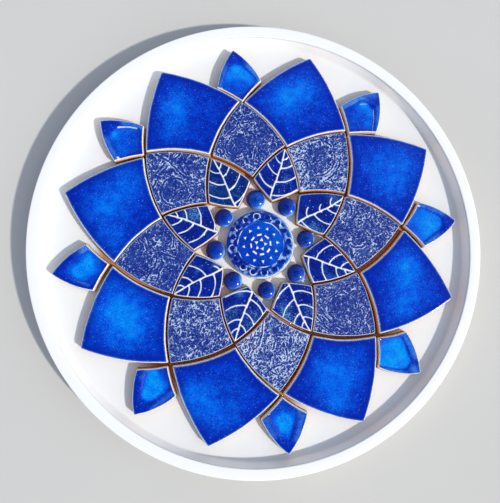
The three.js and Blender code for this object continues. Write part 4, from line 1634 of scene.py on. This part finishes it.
# The colour that each mark of the tray stands for, in the order in which they lie over one another
# All these marks but the foot's paint light and shade: lighter under the middle, on the wall and on the
# rim, darker in the crease and in the joints
TRAY_MARKS = {"pale": "painted_light_white", "crease": "crease", "dust": "dust", "foot": "bisque"}


def tray_material(kiln):
    colours = kiln.colours

    def base(tree):
        foot = mark(tree, "foot")
        clouding = times(tree, between(tree, grain(tree, CLOUDING_SCALE, 3, 0.5), 0.3, 0.75), 0.25)
        layers = [(clouding, colours.slip)]
        layers += [(mark(tree, name), getattr(colours, shade)) for name, shade in TRAY_MARKS.items()]
        return layered(tree, colours.white, *layers), foot

    return glaze_material("tray_glaze", base, (0.3, 0.8), (14 * MM, 0.03, 0.12 * MM), 0.5)


# How much lighter the floor is in places
FLOOR_VARIETY = 1.05


def floor_material(kiln):
    def base(tree):
        soft = between(tree, grain(tree, FLOOR_SCALE, 4, 0.5), 0.2, 0.8)
        rgb = kiln.colours.ground
        lighter = tuple(min(1, channel * FLOOR_VARIETY) for channel in rgb)
        return blend_colours(tree, soft, rgb, lighter), None

    return glaze_material("studio_floor", base, (0.8, 0.8), (20 * MM, 0.2, 0.05 * MM), 0.2)


# Stage: the floor, the light and the camera

# The photograph's view, measured with the mandala turned a little from the picture's upright
PICTURE_TURN = radians(7.67)
VIEW_TARGET = np.array([-6.612, -4.142]) * MM
VIEW_DISTANCE = 350.12 * MM
VIEW_TILT = 0.0902954
VIEW_LEAN = -0.0743995
LENS = 38.03
SUN_TOWARD = np.array([0.846, -0.534])
SUN_HEIGHT = radians(40.6)
FLOOR_REACH = 1.2


def add_camera():
    across = cos(VIEW_LEAN)
    back = Vector((sin(VIEW_LEAN), -sin(VIEW_TILT) * across, cos(VIEW_TILT) * across)).normalized()
    right = Vector((0, 1, 0)).cross(back).normalized()
    up = back.cross(right)
    target = Vector((*VIEW_TARGET, TILE_HIGH.z))
    spot = target + back * VIEW_DISTANCE
    pose = Matrix.Translation(spot) @ Matrix((right, up, back)).transposed().to_4x4()
    camera = bpy.data.objects.new("camera", bpy.data.cameras.new("camera"))
    camera.data.lens = LENS
    camera.data.clip_start = 10 * MM
    camera.matrix_world = Matrix.Rotation(-PICTURE_TURN, 4, "Z") @ pose
    bpy.context.scene.collection.objects.link(camera)
    bpy.context.scene.camera = camera


SUN_POWER = 2.8
SUN_COLOUR = (1.0, 0.94, 0.84)
SUN_SPREAD = radians(3)
# The dome of light is brighter on the sun's side, and dim straight above, so that the flat glaze
# mirrors little of it
BRIGHT_SIDE = (0.9, 0.98, 1.08)
FAR_SIDE = (0.29, 0.36, 0.52)
OVERHEAD_COLOUR = (0.05, 0.06, 0.09)
OVERHEAD_FROM = 0.82
OVERHEAD_FULL = 0.94


def add_lights():
    toward = turned(SUN_TOWARD / hypot(*SUN_TOWARD), -PICTURE_TURN)
    ray = Vector((*(toward * cos(SUN_HEIGHT)), sin(SUN_HEIGHT)))
    sun = bpy.data.objects.new("key_light", bpy.data.lights.new("key_light", "SUN"))
    sun.data.energy = SUN_POWER
    sun.data.color = SUN_COLOUR
    sun.data.angle = SUN_SPREAD
    sun.rotation_mode = "QUATERNION"
    sun.rotation_quaternion = ray.to_track_quat("Z", "Y")
    bpy.context.scene.collection.objects.link(sun)

    world = bpy.data.worlds.new("studio")
    bpy.context.scene.world = world
    world.use_nodes = True
    tree = world.node_tree
    direction = add_node(tree, "ShaderNodeTexCoord").outputs["Generated"]
    ways = {0: direction, 1: (*toward, 0)}
    sunward = add_node(tree, "ShaderNodeVectorMath", ways, operation="DOT_PRODUCT").outputs["Value"]
    sides = blend_colours(tree, between(tree, sunward, -0.9, 0.9), FAR_SIDE, BRIGHT_SIDE)
    height = add_node(tree, "ShaderNodeSeparateXYZ", {"Vector": direction}).outputs["Z"]
    dome = blend_colours(tree, between(tree, height, OVERHEAD_FROM, OVERHEAD_FULL), sides, OVERHEAD_COLOUR)
    tree.links.new(dome, tree.nodes["Background"].inputs["Color"])
    tree.nodes["Background"].inputs["Strength"].default_value = 1.0


def add_floor(kiln):
    mesh = bpy.data.meshes.new("studio_floor")
    reach = FLOOR_REACH
    corners = [(x * reach, y * reach, 0) for x, y in ((-1, -1), (1, -1), (1, 1), (-1, 1))]
    mesh.from_pydata(corners, [], [(0, 1, 2, 3)])
    mesh.materials.append(floor_material(kiln))
    ground = bpy.data.objects.new("studio_floor", mesh)
    bpy.context.scene.collection.objects.link(ground)


# Operators: one for the stage and one for each kind of piece


def kiln_of(context):
    return Kiln(context.scene.mandala_sizes, context.scene.mandala_colours)


class MANDALA_OT_stage(bpy.types.Operator):
    """Sets the floor, the light and the camera"""

    bl_idname = "mandala.stage"
    bl_label = "Stage"

    def execute(self, context):
        add_camera()
        add_lights()
        add_floor(kiln_of(context))
        context.scene.view_settings.view_transform = "Standard"
        return {"FINISHED"}


class MANDALA_OT_tray(bpy.types.Operator):
    """Turns the white tray"""

    bl_idname = "mandala.tray"
    bl_label = "Tray"

    def execute(self, context):
        kiln = kiln_of(context)
        tray(kiln, tray_material(kiln))
        return {"FINISHED"}


class MANDALA_OT_petals(bpy.types.Operator):
    """Cuts and glazes the large and the small petals"""

    bl_idname = "mandala.petals"
    bl_label = "Petals"

    def execute(self, context):
        kiln = kiln_of(context)
        material = petal_material(kiln)
        for index in range(FOLDS):
            large_petal(kiln, index, material)
            small_petal(kiln, index, material)
        return {"FINISHED"}


class MANDALA_OT_textured_tiles(bpy.types.Operator):
    """Presses the textured tiles with lace"""

    bl_idname = "mandala.textured_tiles"
    bl_label = "Textured tiles"

    def execute(self, context):
        kiln = kiln_of(context)
        material = textured_material(kiln)
        for index in range(FOLDS):
            textured_tile(kiln, index, material)
        return {"FINISHED"}


class MANDALA_OT_leaf_tiles(bpy.types.Operator):
    """Presses the leaf tiles with a leaf"""

    bl_idname = "mandala.leaf_tiles"
    bl_label = "Leaf tiles"

    def execute(self, context):
        kiln = kiln_of(context)
        material = leaf_material(kiln)
        for index in range(FOLDS):
            leaf_tile(kiln, index, material)
        return {"FINISHED"}


class MANDALA_OT_centre(bpy.types.Operator):
    """Makes the medallion and the domed pieces round it"""

    bl_idname = "mandala.centre"
    bl_label = "Medallion and cabochons"

    def execute(self, context):
        kiln = kiln_of(context)
        medallion(kiln, medallion_material(kiln))
        material = cabochon_material(kiln)
        for index in range(FOLDS):
            cabochon(kiln, index, material)
        return {"FINISHED"}


OPERATORS = [
    MANDALA_OT_stage,
    MANDALA_OT_tray,
    MANDALA_OT_petals,
    MANDALA_OT_textured_tiles,
    MANDALA_OT_leaf_tiles,
    MANDALA_OT_centre,
]


class MANDALA_PT_panel(bpy.types.Panel):
    """Sizes, colours and makers of the mandala's pieces"""

    bl_label = "Ceramic mandala"
    bl_idname = "MANDALA_PT_panel"
    bl_space_type = "VIEW_3D"
    bl_region_type = "UI"
    bl_category = "Mandala"

    def draw(self, context):
        for group in (context.scene.mandala_sizes, context.scene.mandala_colours):
            box = self.layout.box()
            for name in group.__annotations__:
                box.prop(group, name)
        for operator in OPERATORS:
            self.layout.operator(operator.bl_idname)


CLASSES = [MandalaSizes, MandalaColours, *OPERATORS, MANDALA_PT_panel]


def register():
    for made in CLASSES:
        bpy.utils.register_class(made)
    bpy.types.Scene.mandala_sizes = PointerProperty(type=MandalaSizes)
    bpy.types.Scene.mandala_colours = PointerProperty(type=MandalaColours)


def unregister():
    del bpy.types.Scene.mandala_colours
    del bpy.types.Scene.mandala_sizes
    for made in reversed(CLASSES):
        bpy.utils.unregister_class(made)


def main():
    register()
    bpy.ops.mandala.stage()
    bpy.ops.mandala.tray()
    bpy.ops.mandala.petals()
    bpy.ops.mandala.textured_tiles()
    bpy.ops.mandala.leaf_tiles()
    bpy.ops.mandala.centre()


if __name__ == "__main__":
    main()
